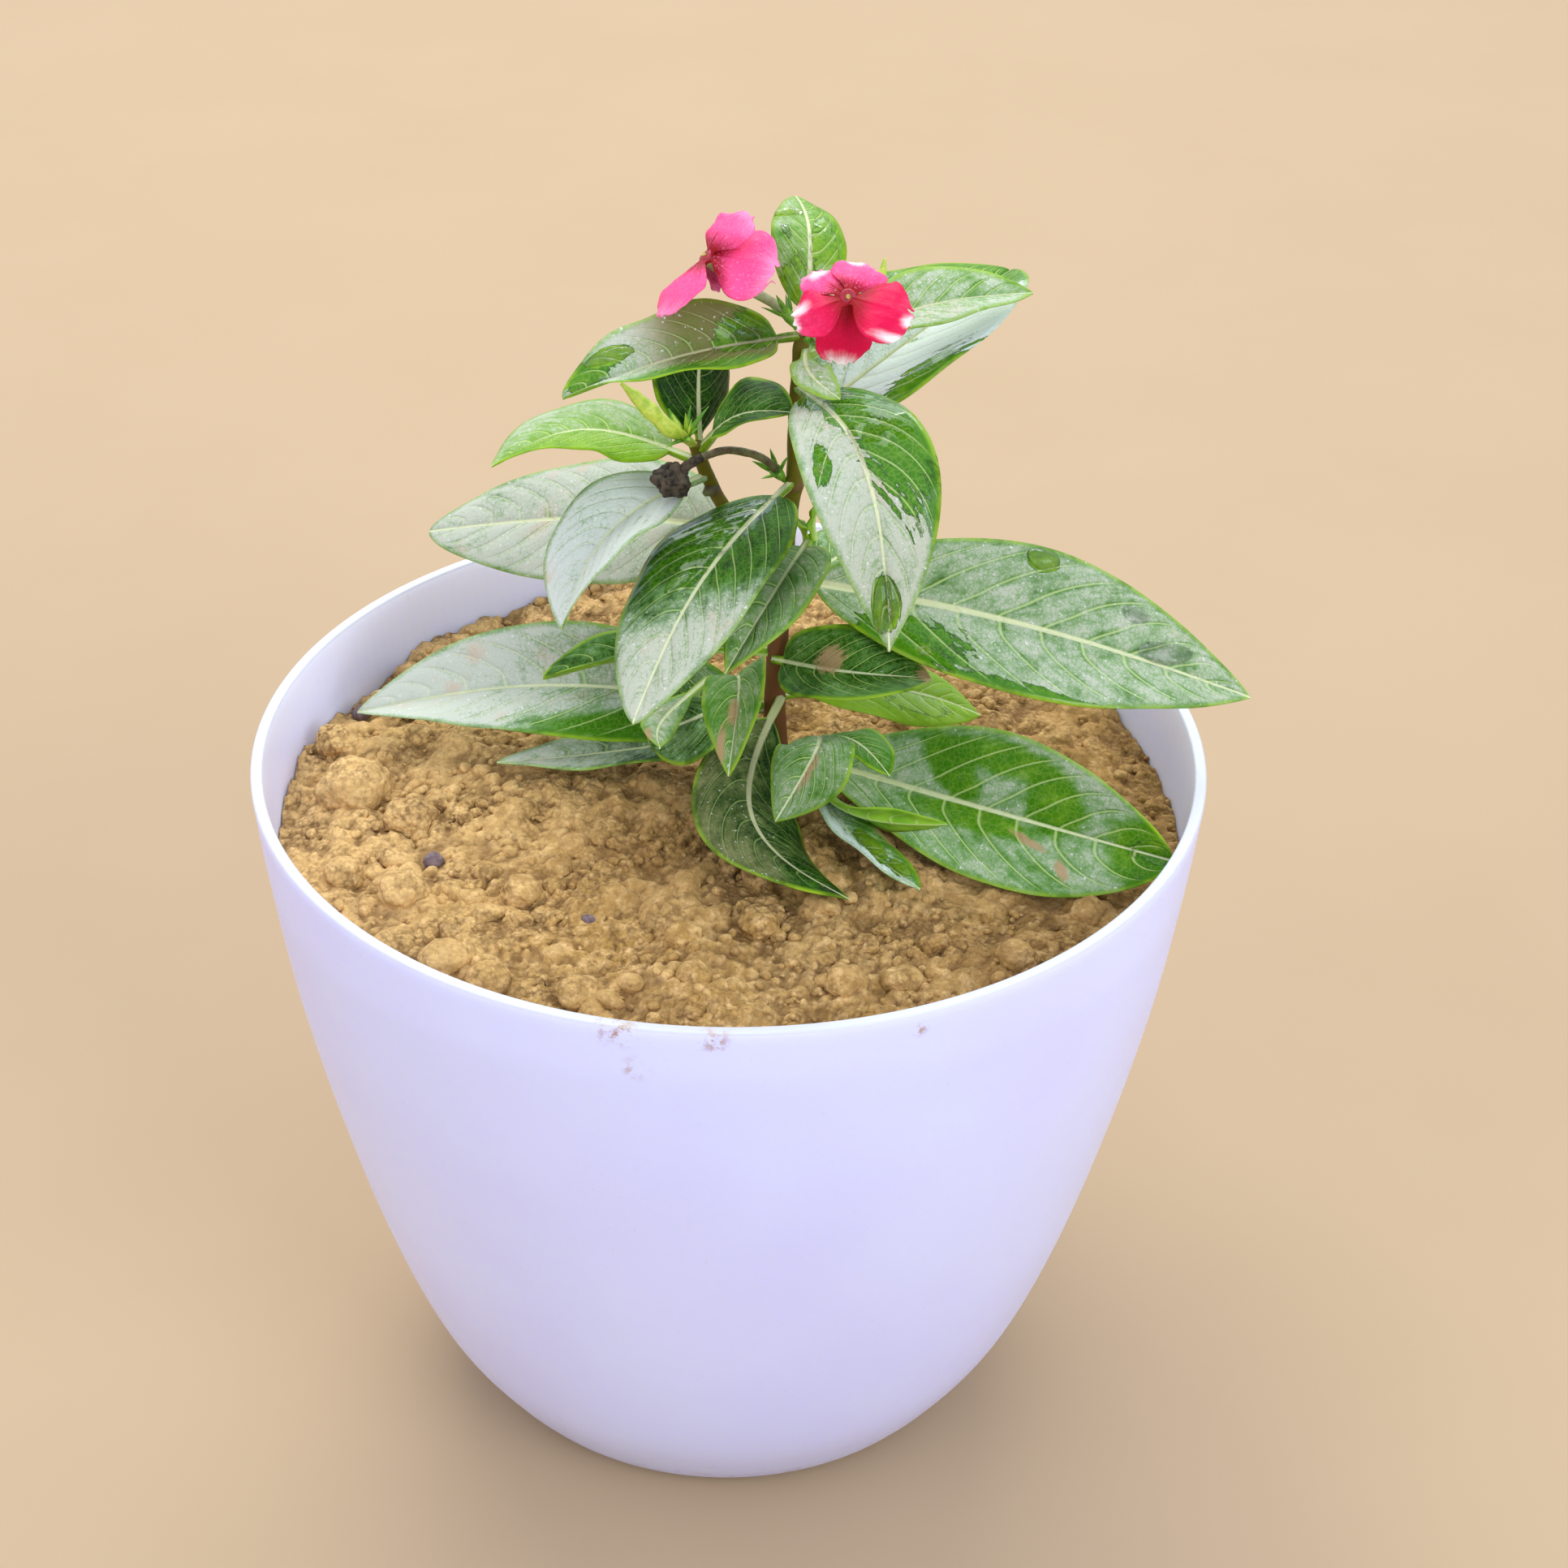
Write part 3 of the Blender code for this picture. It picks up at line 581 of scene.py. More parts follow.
@dataclass(frozen=True)
class LeafFace:
    """Upper face of a leaf: veined green under a pale dust film, on some leaves with a painted whitish sheen,
    dark and glossy where water lies.
    """

    dark: Colour = (0.003, 0.030, 0.0002)
    green: Colour = (0.052, 0.190, 0.004)
    bright: Colour = (0.24, 0.42, 0.014)
    vein: Colour = (0.36, 0.52, 0.09)
    rib: Colour = (0.70, 0.72, 0.40)
    dull_rib: Colour = (0.38, 0.34, 0.16)
    margin: Colour = (0.27, 0.43, 0.015)
    film: Colour = (0.50, 0.515, 0.385)
    painted_sheen: Colour = (0.76, 0.81, 0.74)
    haze: Colour = (0.27, 0.41, 0.20)
    speck: Colour = (0.80, 0.80, 0.72)
    soil: Colour = (0.62, 0.46, 0.32)
    grime: Colour = (0.155, 0.145, 0.028)
    scorch: Colour = (0.44, 0.27, 0.13)
    lane_scale: Point = (2.4, 0.22, 9.0)

    def material(self) -> bpy.types.Material:
        """Build the finish.

        Returns:
            The material.
        """
        t = ShaderTree("leaf_face")
        edge, grime, own_tone = t.field("edge"), t.field("grime"), t.field("tone")
        grain = t.noise(0.5, 3.0, rough=0.7)
        gritty = grain - 0.5
        loose = t.noise(6.5, 4.0) - 0.5
        patchy = t.noise(1.9, 4.0, rough=0.65) - 0.5
        lanes = (scale * MM * t.field(name) for scale, name in zip(self.lane_scale, ("vein", "rib", "hand")))
        streak = t.noise(0.9, 3.0, t.node("ShaderNodeCombineXYZ", *lanes)) - 0.5

        gap = t.math("ABSOLUTE", t.math("FRACT", t.field("vein")) - 0.5)
        inner = t.step(edge, 0.5, 3.4)
        side_vein = inner * t.step(gap, 0.012, 0.060, 1.0, 0.0)
        furrow = inner * t.step(gap, 0.05, 0.17, 1.0, 0.0)
        net = inner * t.step(t.cells(1.25), 0.0, 0.13, 1.0, 0.0)
        rib_line = t.step(t.field("rib") / t.field("rib_width"), 0.5, 1.0, 1.0, 0.0)

        wetness = t.field("wet") + 0.8 * loose + 1.5 * streak + 0.5 * patchy + 0.2 * gritty
        wet = t.step(wetness, -0.02, 0.04)
        dry = 1.0 - wet
        # painted shade: a dark line just inside the edge of each wet patch, where the water's edge looks dark
        wet_rim_shade = wet * t.step(wetness, 0.16, 0.04)
        film = t.field("dust") + 0.9 * loose + 0.7 * patchy + 0.8 * streak - 0.18 * furrow
        film = film * t.step(edge, 0.1, 1.9, 0.40, 1.0)
        haze = dry * t.step(film, -0.05, 0.75)
        film = dry * t.step(film + 0.95 * gritty - 0.24 * net, 0.20, 1.0)
        burnt = t.step(t.field("tan") + 1.6 * streak + loose + 1.2 * gritty, -0.1, 0.5)

        tone = own_tone + 0.6 * loose + 0.4 * patchy + 0.5 * streak
        lively = t.step(own_tone, 0.05, 0.5, 0.22, 0.6)
        # yellow-green margin: partly the leaf's own paler rim, partly painted light shining through the thin
        # edge
        bright_edge = t.step(edge, 0.15, 1.3, 0.9, 0.0) * t.step(loose, -0.12, 0.06, 0.35, 1.0)
        dirt = t.step(t.noise(9.0, 4.0), 0.56, 0.80, 0.0, 0.8) + 0.5 * grime
        # painted light: where the pale share is set, the dust film turns whitish, standing in for light
        # through the leaf and the sky's reflection
        dusty = t.layers(self.film, (t.field("pale"), self.painted_sheen), (dirt, self.soil), (grime, self.grime))
        specks = t.step(t.noise(0.8, 2.0), 0.66, 0.72) * t.step(haze, 0.05, 0.6, 0.1, 0.6)
        colour = t.layers(
            self.dark,
            (t.step(tone, 0.0, 0.55), self.green),
            (t.step(tone, 0.5, 1.1), self.bright),
            (net * t.step(tone, 0.0, 0.5, 0.08, 0.2), self.vein),
            (side_vein * lively, self.vein),
            (bright_edge, self.margin),
            (0.6 * haze, t.mix(grime, self.haze, self.grime)),
            (0.92 * film, dusty),
            (0.44 * side_vein * lively, self.rib),
            (0.88 * rib_line, t.mix(0.65 * grime, self.rib, self.dull_rib)),
            (specks, self.speck),
            (0.8 * burnt, self.scorch),
            (0.55 * wet_rim_shade, self.dark),
        )
        swell = 0.10 * wet + 0.13 * t.noise(3.2, 1.0)
        rise = swell - 0.12 * furrow - 0.03 * net + 0.04 * grain * dry
        return t.finish(
            Base_Color=colour, Roughness=dry * t.step(haze, 0.0, 1.0, 0.40, 0.70) + 0.16 * wet,
            Specular_IOR_Level=0.09, Coat_Weight=0.75 * wet, Coat_Roughness=0.05, Coat_IOR=1.34,
            Coat_Normal=t.bump(swell), Normal=t.bump(rise),
        )


@dataclass(frozen=True)
class LeafUnder:
    """Underside of a leaf: matt yellow green with raised pale veins."""

    body: Colour = (0.27, 0.50, 0.030)
    deep: Colour = (0.15, 0.36, 0.015)
    vein: Colour = (0.52, 0.66, 0.20)

    def material(self) -> bpy.types.Material:
        """Build the finish.

        Returns:
            The material.
        """
        t = ShaderTree("leaf_under")
        gap = t.math("ABSOLUTE", t.math("FRACT", t.field("vein")) - 0.5)
        raised = t.step(gap, 0.02, 0.09, 1.0, 0.0) * t.step(t.field("edge"), 0.4, 3.6)
        rib_line = t.step(t.field("rib") / t.field("rib_width"), 0.6, 1.3, 1.0, 0.0)
        colour = t.layers(
            self.body,
            (t.step(t.noise(5.0, 4.0), 0.35, 0.7), self.deep),
            (0.5 * raised, self.vein),
            (0.85 * rib_line, self.vein),
        )
        rise = 0.12 * raised + 0.04 * t.noise(0.6, 3.0)
        return t.finish(Base_Color=colour, Roughness=0.55, Specular_IOR_Level=0.3, Normal=t.bump(rise))


@dataclass(frozen=True)
class PetalSilk:
    """Soft petal: a dark eye, crimson round it, pink outwards, with cream patches and fine rays."""

    eye: Colour = (0.30, 0.002, 0.006)
    crimson: Colour = (0.66, 0.001, 0.052)
    pink: Colour = (0.92, 0.075, 0.23)
    pale: Colour = (0.95, 0.38, 0.55)
    cream: Colour = (0.93, 0.84, 0.80)
    ray_length: float = 0.0016
    ray_width: float = 0.011

    def material(self) -> bpy.types.Material:
        """Build the finish.

        Returns:
            The material.
        """
        t = ShaderTree("petal_silk")
        reach, number = t.field("reach"), t.field("number")
        across = self.ray_width * t.field("across")
        rays = t.node("ShaderNodeCombineXYZ", self.ray_length * reach, across, number)
        ray, cloud, grain = t.noise(0.9, 3.0, rays), t.noise(3.0, 4.0), t.noise(0.5, 3.0)
        drift = 0.4 * (ray - 0.5)
        far = reach + drift
        tone = t.field("tone") + 0.5 * (cloud - 0.5)
        creamy = t.field("cream") + 1.2 * drift + 0.6 * (cloud - 0.5)
        colour = t.layers(
            self.crimson,
            (t.step(tone + 0.35 * far, 0.3, 1.0), self.pink),
            (t.step(far, 0.72, 1.12) * t.step(tone, 0.0, 1.0, 0.05, 0.75), self.pale),
            (t.step(far, 0.46, 0.12), self.eye),
            (t.step(creamy, -0.15, 0.85), self.cream),
            (t.step(grain, 0.56, 0.70) * t.step(tone, 0.0, 1.0, 0.02, 0.4), self.pale),
        )
        rise = 0.10 * ray + 0.05 * grain
        return t.finish(Base_Color=colour, Roughness=0.5, Specular_IOR_Level=0.15, Normal=t.bump(rise))


@dataclass(frozen=True)
class PlainGrowth:
    """A small green, brown or pale part in two tints with a fine grain."""

    name: str
    light: Colour
    deep: Colour
    feature: float = 2.0
    grain: float = 0.5
    relief: float = 0.08
    roughness: float = 0.5

    def material(self) -> bpy.types.Material:
        """Build the finish.

        Returns:
            The material.
        """
        t = ShaderTree(self.name)
        blotch, fine = t.noise(self.feature, 4.0), t.noise(self.grain, 4.0, rough=0.65)
        colour = t.layers(
            self.light, (t.step(blotch, 0.35, 0.68), self.deep), (0.4 * t.step(fine, 0.5, 0.7), self.deep)
        )
        rough = t.step(fine, 0.3, 0.7, self.roughness - 0.07, self.roughness + 0.07)
        rise = self.relief * (blotch + 0.5 * fine)
        return t.finish(Base_Color=colour, Roughness=rough, Normal=t.bump(rise))


@dataclass(frozen=True)
class Water:
    """Clear water."""

    white: Colour = (1.0, 1.0, 1.0)
    index: float = 1.333

    def material(self) -> bpy.types.Material:
        """Build the finish.

        Returns:
            The material.
        """
        t = ShaderTree("water")
        ripple = t.bump(0.02 * t.noise(2.0, 1.0))
        return t.finish(
            Base_Color=self.white, Roughness=0.02, IOR=self.index, Transmission_Weight=1.0, Normal=ripple
        )


class Finish(Enum):
    """The finishes by name, each built once."""

    POT = PotPlastic()
    LOAM = Loam()
    BARK = StemBark()
    FACE = LeafFace()
    UNDER = LeafUnder()
    PETAL = PetalSilk()
    PETAL_BACK = PlainGrowth("petal_back", (0.92, 0.22, 0.42), (0.85, 0.09, 0.28))
    TUBE = PlainGrowth("tube_green", (0.42, 0.50, 0.22), (0.36, 0.34, 0.16))
    SEPAL = PlainGrowth("sepal_green", (0.19, 0.42, 0.020), (0.07, 0.22, 0.006))
    BUD = PlainGrowth("bud_green", (0.63, 0.70, 0.10), (0.38, 0.54, 0.040))
    DRIED = PlainGrowth("dried_brown", (0.10, 0.072, 0.040), (0.016, 0.011, 0.006), 1.6, 0.35, 0.5, 0.9)
    SPENT_STALK = PlainGrowth("spent_stalk", (0.17, 0.17, 0.05), (0.085, 0.05, 0.025), 2.2, 0.4, 0.15, 0.6)
    PEBBLE = PlainGrowth("pebble", (0.20, 0.14, 0.13), (0.10, 0.06, 0.06), 1.5, 0.4, 0.1, 0.8)
    EYE = PlainGrowth("eye_green", (0.50, 0.42, 0.06), (0.35, 0.16, 0.03), 0.6, 0.3, 0.05, 0.5)
    THROAT = PlainGrowth("throat_red", (0.42, 0.006, 0.02), (0.22, 0.003, 0.008), 0.8, 0.3, 0.06, 0.5)
    WATER = Water()

    @cache
    def paint(self) -> bpy.types.Material:
        """The finish's material."""
        return self.value.material()


def in_scene(name: str, data: bpy.types.ID) -> bpy.types.Object:
    """A scene object that holds a mesh, camera or lamp.

    Args:
        name: Its name.
        data: What it holds.

    Returns:
        The object.
    """
    item = bpy.data.objects.new(name, data)
    bpy.context.scene.collection.objects.link(item)
    return item


def plain_mesh(
    name: str, points: Sequence[Sequence[float]], faces: Sequence[Sequence[int]], *finishes: Finish,
    edges: Sequence[tuple[int, int]] = (),
) -> bpy.types.Mesh:
    """A smooth mesh. One with a finish is closed, and its faces are turned outwards.

    Args:
        name: The mesh's name.
        points: Points in millimetres.
        faces: Point numbers of each face.
        finishes: Its finishes, the first on every face.
        edges: Point numbers of loose edges.

    Returns:
        The mesh.
    """
    mesh = bpy.data.meshes.new(name)
    mesh.from_pydata((np.asarray(points, float) * MM).tolist(), edges, faces)
    mesh.polygons.foreach_set("use_smooth", [True] * len(faces))
    for finish in finishes:
        mesh.materials.append(finish.paint())
    if finishes:
        face_outwards(mesh)
    return mesh


def face_outwards(mesh: bpy.types.Mesh) -> None:
    """Flip a closed mesh whose faces look inwards.

    Args:
        mesh: The mesh.
    """
    points = np.empty(len(mesh.vertices) * 3)
    mesh.vertices.foreach_get("co", points)
    mesh.calc_loop_triangles()
    index = np.empty(len(mesh.loop_triangles) * 3, int)
    mesh.loop_triangles.foreach_get("vertices", index)
    a, b, c = (points.reshape(-1, 3)[index.reshape(-1, 3)[:, corner]] for corner in range(3))
    if np.einsum("ij,ij->i", a, np.cross(b, c)).sum() < 0.0:
        mesh.flip_normals()


def carry(mesh: bpy.types.Mesh, fields: dict[str, Sequence[float]]) -> None:
    """Store one number a vertex for each named field.

    Args:
        mesh: The mesh.
        fields: The numbers by their names.
    """
    for name, values in fields.items():
        layer = mesh.attributes.new(name, "FLOAT", "POINT")
        layer.data.foreach_set("value", np.asarray(values, np.float32).ravel())


def join_meshes(name: str, meshes: Sequence[bpy.types.Mesh]) -> bpy.types.Object:
    """One object from several finished meshes, their finishes kept.

    Args:
        name: The object's name.
        meshes: Meshes with their materials set.

    Returns:
        The joined object.
    """
    items = [in_scene(f"{name}_{index}", mesh) for index, mesh in enumerate(meshes)]
    with bpy.context.temp_override(active_object=items[0], selected_editable_objects=items):
        bpy.ops.object.join()
    items[0].name = name
    items[0].data.name = name
    return items[0]


def settle(item: bpy.types.Object, slot: str, *nodes: str) -> None:
    """Hand a finished piece to the frame and report it.

    Args:
        item: The piece, its place in its mesh.
        slot: A material slot's name, or "" for none; it is not used.
        nodes: CAD nodes that it stands for.
    """
    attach(item, BODY)
    if nodes:
        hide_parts(*nodes)
    item.data.calc_loop_triangles()
    LOG.info("%s: %d triangles", item.name, len(item.data.loop_triangles))


def grid_faces(index: np.ndarray) -> np.ndarray:
    """The faces of a grid of point numbers."""
    return np.stack([index[:-1, :-1], index[1:, :-1], index[1:, 1:], index[:-1, 1:]], -1).reshape(-1, 4)


def grid_rim(index: np.ndarray) -> np.ndarray:
    """The point numbers round a grid, in order."""
    return np.concatenate([index[:, 0], index[-1, 1:], index[-2::-1, -1], index[0, -2:0:-1]])


def ball_shape(fineness: int) -> tuple[np.ndarray, list[list[int]]]:
    """Directions and triangles of an even ball.

    Args:
        fineness: How often its triangles are halved.

    Returns:
        The directions and the triangles.
    """
    shape = bmesh.new()
    bmesh.ops.create_icosphere(shape, subdivisions=fineness, radius=1.0)
    directions = np.array([tuple(vertex.co) for vertex in shape.verts])
    faces = [[vertex.index for vertex in face.verts] for face in shape.faces]
    shape.free()
    return directions, faces


def rough_field(points: np.ndarray, size: float, seed: float) -> np.ndarray:
    """Noise from -1 to 1 with features of a size in millimetres.

    Args:
        points: Points in millimetres, in an array of any shape.
        size: Size of the features.
        seed: Which noise.

    Returns:
        One number for each point, in the same shape.
    """
    flat = np.asarray(points, float).reshape(-1, 3) / size
    values = [noise.noise(Vector((x + seed, y - seed, z + 2.0 * seed))) for x, y, z in flat]
    return np.array(values).reshape(np.shape(points)[:-1])


def smooth_step(value: np.ndarray, low: float, high: float) -> np.ndarray:
    """0 below low, 1 above high, smooth between."""
    share = np.clip((value - low) / (high - low), 0.0, 1.0)
    return share * share * (3.0 - 2.0 * share)


def unit(vectors: np.ndarray) -> np.ndarray:
    """The vectors at length one."""
    return vectors / np.maximum(np.linalg.norm(vectors, axis=-1, keepdims=True), 1e-9)


def heading_way(degrees: float) -> np.ndarray:
    """The level direction of a heading, from +X towards +Y."""
    return np.array([math.cos(math.radians(degrees)), math.sin(math.radians(degrees)), 0.0])


def flowing_line(points: Sequence[Sequence[float]], spacing: float) -> np.ndarray:
    """A smooth line through points, with their further values carried along.

    Args:
        points: Rows of x, y, z and any further numbers.
        spacing: Distance between the line's points in millimetres.

    Returns:
        Rows of the same numbers along the line.
    """
    given = np.asarray(points, float)
    padded = np.vstack([2 * given[0] - given[1], given, 2 * given[-1] - given[-2]])
    rows = []
    for before, first, second, after in zip(padded, padded[1:], padded[2:], padded[3:]):
        count = max(2, int(np.linalg.norm((second - first)[:3]) / spacing))
        for share in np.linspace(0.0, 1.0, count, endpoint=False):
            square, cube = share**2, share**3
            row = 0.5 * (
                2.0 * first
                + (second - before) * share
                + (2.0 * before - 5.0 * first + 4.0 * second - after) * square
                + (3.0 * first - before - 3.0 * second + after) * cube
            )
            row[3:] = first[3:] + (second[3:] - first[3:]) * (3.0 * square - 2.0 * cube)
            rows.append(row)
    return np.vstack([rows, given[-1:]])


@dataclass(frozen=True)
class Pot:
    """The moulded pot: a long taper that rounds in to a small flat foot, with a thin bright lip."""

    height: float = 160.0
    rim_radius: float = 100.0
    wall: float = 2.5
    floor: float = 3.0
    lip: float = 0.5
    lip_points: int = 5
    foot_inset: float = 2.0
    spacing: float = 3.0
    sides: int = 192
    outline: tuple[tuple[float, float], ...] = (
        (159.5, 100.0), (140.0, 98.0), (112.0, 94.0), (80.0, 87.4), (48.0, 79.0),
        (24.0, 70.4), (8.0, 61.0), (2.0, 56.0), (0.0, 53.0),
    )

    def radius(self, height: float) -> float:
        """Outer radius at a height."""
        heights, radii = zip(*reversed(self.outline))
        return float(np.interp(height, heights, radii))

    def build(self) -> None:
        """The pot as one smooth turned shell."""
        line = flowing_line([(z, r, 0.0) for z, r in self.outline], self.spacing)
        outside = [(r, 0.0, z) for z, r, *_ in line]
        outside = [(min(r, self.rim_radius), y, max(z, 0.0)) for r, y, z in outside]
        inside = [(r - self.wall, 0.0, z) for r, _, z in outside if z > self.floor + self.foot_inset]
        turns = np.linspace(0.0, math.pi / 2, self.lip_points)
        edge, top = self.rim_radius - self.lip, self.height - self.lip
        lip = [(edge + self.lip * math.sin(a), 0.0, top + self.lip * math.cos(a)) for a in turns]
        inner_lip = [(2 * self.rim_radius - self.wall - r, 0.0, z) for r, _, z in lip]
        foot = self.radius(self.floor) - self.wall - self.foot_inset
        rows = [(0.0, 0.0, self.floor), (foot, 0.0, self.floor), *reversed(inside), *reversed(inner_lip)]
        rows += [*lip, *outside[1:], (0.0, 0.0, 0.0)]
        source = in_scene("pot_outline", plain_mesh("pot_outline", rows, ()))
        mesh = TurnedTree(Finish.POT.paint()).grow(source, Sides=self.sides)
        face_outwards(mesh)
        settle(in_scene("pot_shell", mesh), "pot_plastic", "pot")


@dataclass(frozen=True)
class Scatter:
    """One piece of loose lumps: how far it reaches, where it lies, and the lumps' fineness and sizes."""

    name: str
    reach: float
    gathered: bool
    detail: int
    density: float
    smallest: float
    largest: float
    seed: int


@dataclass(frozen=True)
class LoamBed:
    """The loam: a crumbly bed, the larger clods and the loose crumbs on it.

    A clod or pebble is a place and a radius. A swell of the bed is a size, a seed and a height, and a dip
    is a place, a radius and a depth. A sort of crumb is a size, a height and the level of noise that it
    needs. The walls are the heights of the rings below the bed.
    """

    pot: Pot
    middle: float = 150.0
    side_drop: float = 8.5
    edge_drop: float = 4.0
    crumb_drop: float = 0.9
    gap: float = 0.25
    foot_inset: float = 2.0
    cells: int = 250
    sheet_points: int = 60
    sunk: float = 0.4
    grain: float = 1.1
    grain_height: float = 0.35
    stem_dip: float = 1.2
    stem_dip_radius: float = 5.0
    stem_clear: float = 8.0
    gather_size: float = 22.0
    clods: tuple[Point, ...] = (
        (-79.0, -27.0, 4.2), (-80.0, 4.0, 7.8), (-67.0, -8.0, 5.4), (-86.0, 22.0, 4.6),
        (-66.0, -37.0, 5.2), (-29.0, -73.0, 4.2), (-56.0, -60.0, 5.0), (-47.0, -66.0, 4.8),
        (-42.0, -38.0, 4.2), (6.0, -50.0, 4.2), (-9.0, -56.0, 3.8), (57.0, -58.0, 4.2),
        (73.0, -40.0, 3.6), (23.0, -69.0, 4.2), (-70.0, 38.0, 4.6), (72.0, 25.0, 4.0),
    )
    swells: tuple[Point, ...] = ((15.0, 3.1, 2.2), (6.0, 8.7, 0.9))
    dips: tuple[Row, ...] = ((50.0, -31.0, 11.0, 3.6),)
    pebbles: tuple[Point, ...] = ((-61.0, -24.0, 2.2), (-28.0, -48.0, 1.6), (-82.0, 38.0, 2.2))
    crumbs: tuple[Point, ...] = ((7.5, 2.0, 0.05), (3.6, 1.25, -0.1), (1.7, 0.6, -0.3))
    walls: tuple[float, ...] = (136.0, 112.0, 80.0, 48.0, 24.0, 8.0)
    scatters: tuple[Scatter, ...] = (
        Scatter("loam_lumps", 0.95, True, 3, 9000.0, 1.2, 4.2, 4),
        Scatter("loam_crumbs", 0.985, False, 2, 60000.0, 0.45, 1.9, 9),
    )

    def level(self, x: float, y: float) -> float:
        """Height of the bed without its crumbs.

        Args:
            x: Its place.
            y: Its place.

        Returns:
            The height in millimetres.
        """
        reach = math.hypot(x, y) / self.pot.rim_radius
        level = self.middle - self.side_drop * reach * abs(x) / self.pot.rim_radius
        swell = 0.0
        for size, seed, tall in self.swells:
            swell += tall * noise.noise(Vector((x / size, y / size, seed)))
        for dip_x, dip_y, radius, depth in self.dips:
            level -= depth * math.exp(-((math.hypot(x - dip_x, y - dip_y) / radius) ** 2))
        return level + swell * (1.0 if reach > 0.2 else 0.4)

    def crumble(self, x: float, y: float) -> float:
        """Height of the crumbs.

        Args:
            x: Its place.
            y: Its place.

        Returns:
            The height over the bed in millimetres.
        """
        total = 0.0
        for size, tall, cover in self.crumbs:
            seed = size * 11.0
            gap = noise.voronoi(Vector((x / size + seed, y / size, 0.3)))[0][0]
            present = noise.noise(Vector((x / size * 0.4 - seed, y / size * 0.4, 5.0)))
            if present > cover:
                dome = math.sqrt(max(0.0, 1.0 - (gap / 0.62) ** 2))
                total += tall * dome * min(1.0, (present - cover) * 5.0)
        total += self.grain_height * noise.noise(Vector((x / self.grain, y / self.grain, 2.0)))
        return total - self.crumb_drop

    def from_stem(self, x: float, y: float) -> float:
        """A place's distance from the stem's foot."""
        return math.hypot(x - STEM_FOOT[0], y - STEM_FOOT[1])

    def inner_radius(self, height: float) -> float:
        """The loam's radius where it meets the wall."""
        return self.pot.radius(height) - self.pot.wall - self.gap

    def round_grid(self) -> tuple[np.ndarray, np.ndarray]:
        """A square grid of places drawn out to fill the round pot.

        Returns:
            The places' x and y.
        """
        side = np.linspace(-1.0, 1.0, self.cells + 1)
        u, v = np.meshgrid(side, side, indexing="ij")
        wide = np.abs(u) > np.abs(v)
        reach = np.where(wide, u, v)
        safe = np.where(reach == 0.0, 1.0, reach)
        turn = np.where(wide, (math.pi / 4) * (v / safe), (math.pi / 2) - (math.pi / 4) * (u / safe))
        edge = self.inner_radius(self.middle - self.edge_drop)
        return reach * np.cos(turn) * edge, reach * np.sin(turn) * edge

    def build_bed(self) -> None:
        """The bed as one closed body that fills the pot."""
        points, crest = [], []
        x, y = self.round_grid()
        for px, py in zip(x.ravel(), y.ravel()):
            crumbs = self.crumble(px, py)
            dip = self.stem_dip * math.exp(-((self.from_stem(px, py) / self.stem_dip_radius) ** 2))
            height = self.level(px, py) + crumbs - dip
            inwards = min(1.0, self.inner_radius(height) / max(math.hypot(px, py), 1e-9))
            points.append((px * inwards, py * inwards, height))
            crest.append(crumbs)
        index = np.arange(x.size).reshape(x.shape)
        faces, ring = grid_faces(index).tolist(), grid_rim(index).tolist()
        bottom = self.pot.floor + self.sunk
        upper = ring
        for height in (*self.walls, bottom):
            radius = self.inner_radius(height) - (self.foot_inset if height == bottom else 0.0)
            lower = list(range(len(points), len(points) + len(ring)))
            for px, py, _ in [points[k] for k in ring]:
                scale = radius / math.hypot(px, py)
                points.append((px * scale, py * scale, height))
            for k, low in enumerate(lower):
                after = (k + 1) % len(lower)
                faces.append((upper[k], low, lower[after], upper[after]))
            upper = lower
        faces += [(len(points), upper[(k + 1) % len(upper)], upper[k]) for k in range(len(upper))]
        points.append((0.0, 0.0, bottom))
        mesh = plain_mesh("loam_bed", points, faces, Finish.LOAM)
        carry(mesh, {"crest": crest + [0.0] * (len(points) - len(crest))})
        settle(in_scene("loam_bed", mesh), "loam", "soil")

    def carries(self, x: float, y: float, edge: float, gathered: bool) -> bool:
        """Whether loose lumps lie at a place.

        Args:
            x: Its place.
            y: Its place.
            edge: Radius that the lumps keep within.
            gathered: Only where the larger lumps gather, at the front left.

        Returns:
            True if they do.
        """
        if math.hypot(x, y) > edge or self.from_stem(x, y) < self.stem_clear:
            return False
        patch = noise.noise(Vector((x / self.gather_size, y / self.gather_size, 7.0)))
        return not gathered or 0.5 * (-x - 1.2 * y) / edge + patch >= 0.05

    def scatter(self, sort: Scatter) -> None:
        """One piece of scattered lumps.

        Args:
            sort: The sort of lump.
        """
        edge = (self.pot.radius(self.middle) - self.pot.wall) * sort.reach
        side = np.linspace(-edge, edge, self.sheet_points)
        points = [(x, y, self.level(x, y) - self.sunk) for x in side for y in side]
        index = np.arange(len(points)).reshape(len(side), len(side))
        quads = grid_faces(index).tolist()
        faces = [quad for quad in quads if self.carries(*points[quad[0]][:2], edge, sort.gathered)]
        sheet = in_scene("loam_sheet", plain_mesh("loam_sheet", points, faces))
        sizes = {"Smallest": sort.smallest * MM, "Largest": sort.largest * MM}
        tree = CrumbTree(Finish.LOAM.paint(), sort.detail)
        mesh = tree.grow(sheet, Density=sort.density, Seed=sort.seed, **sizes)
        settle(in_scene(sort.name, mesh), "loam", "soil")

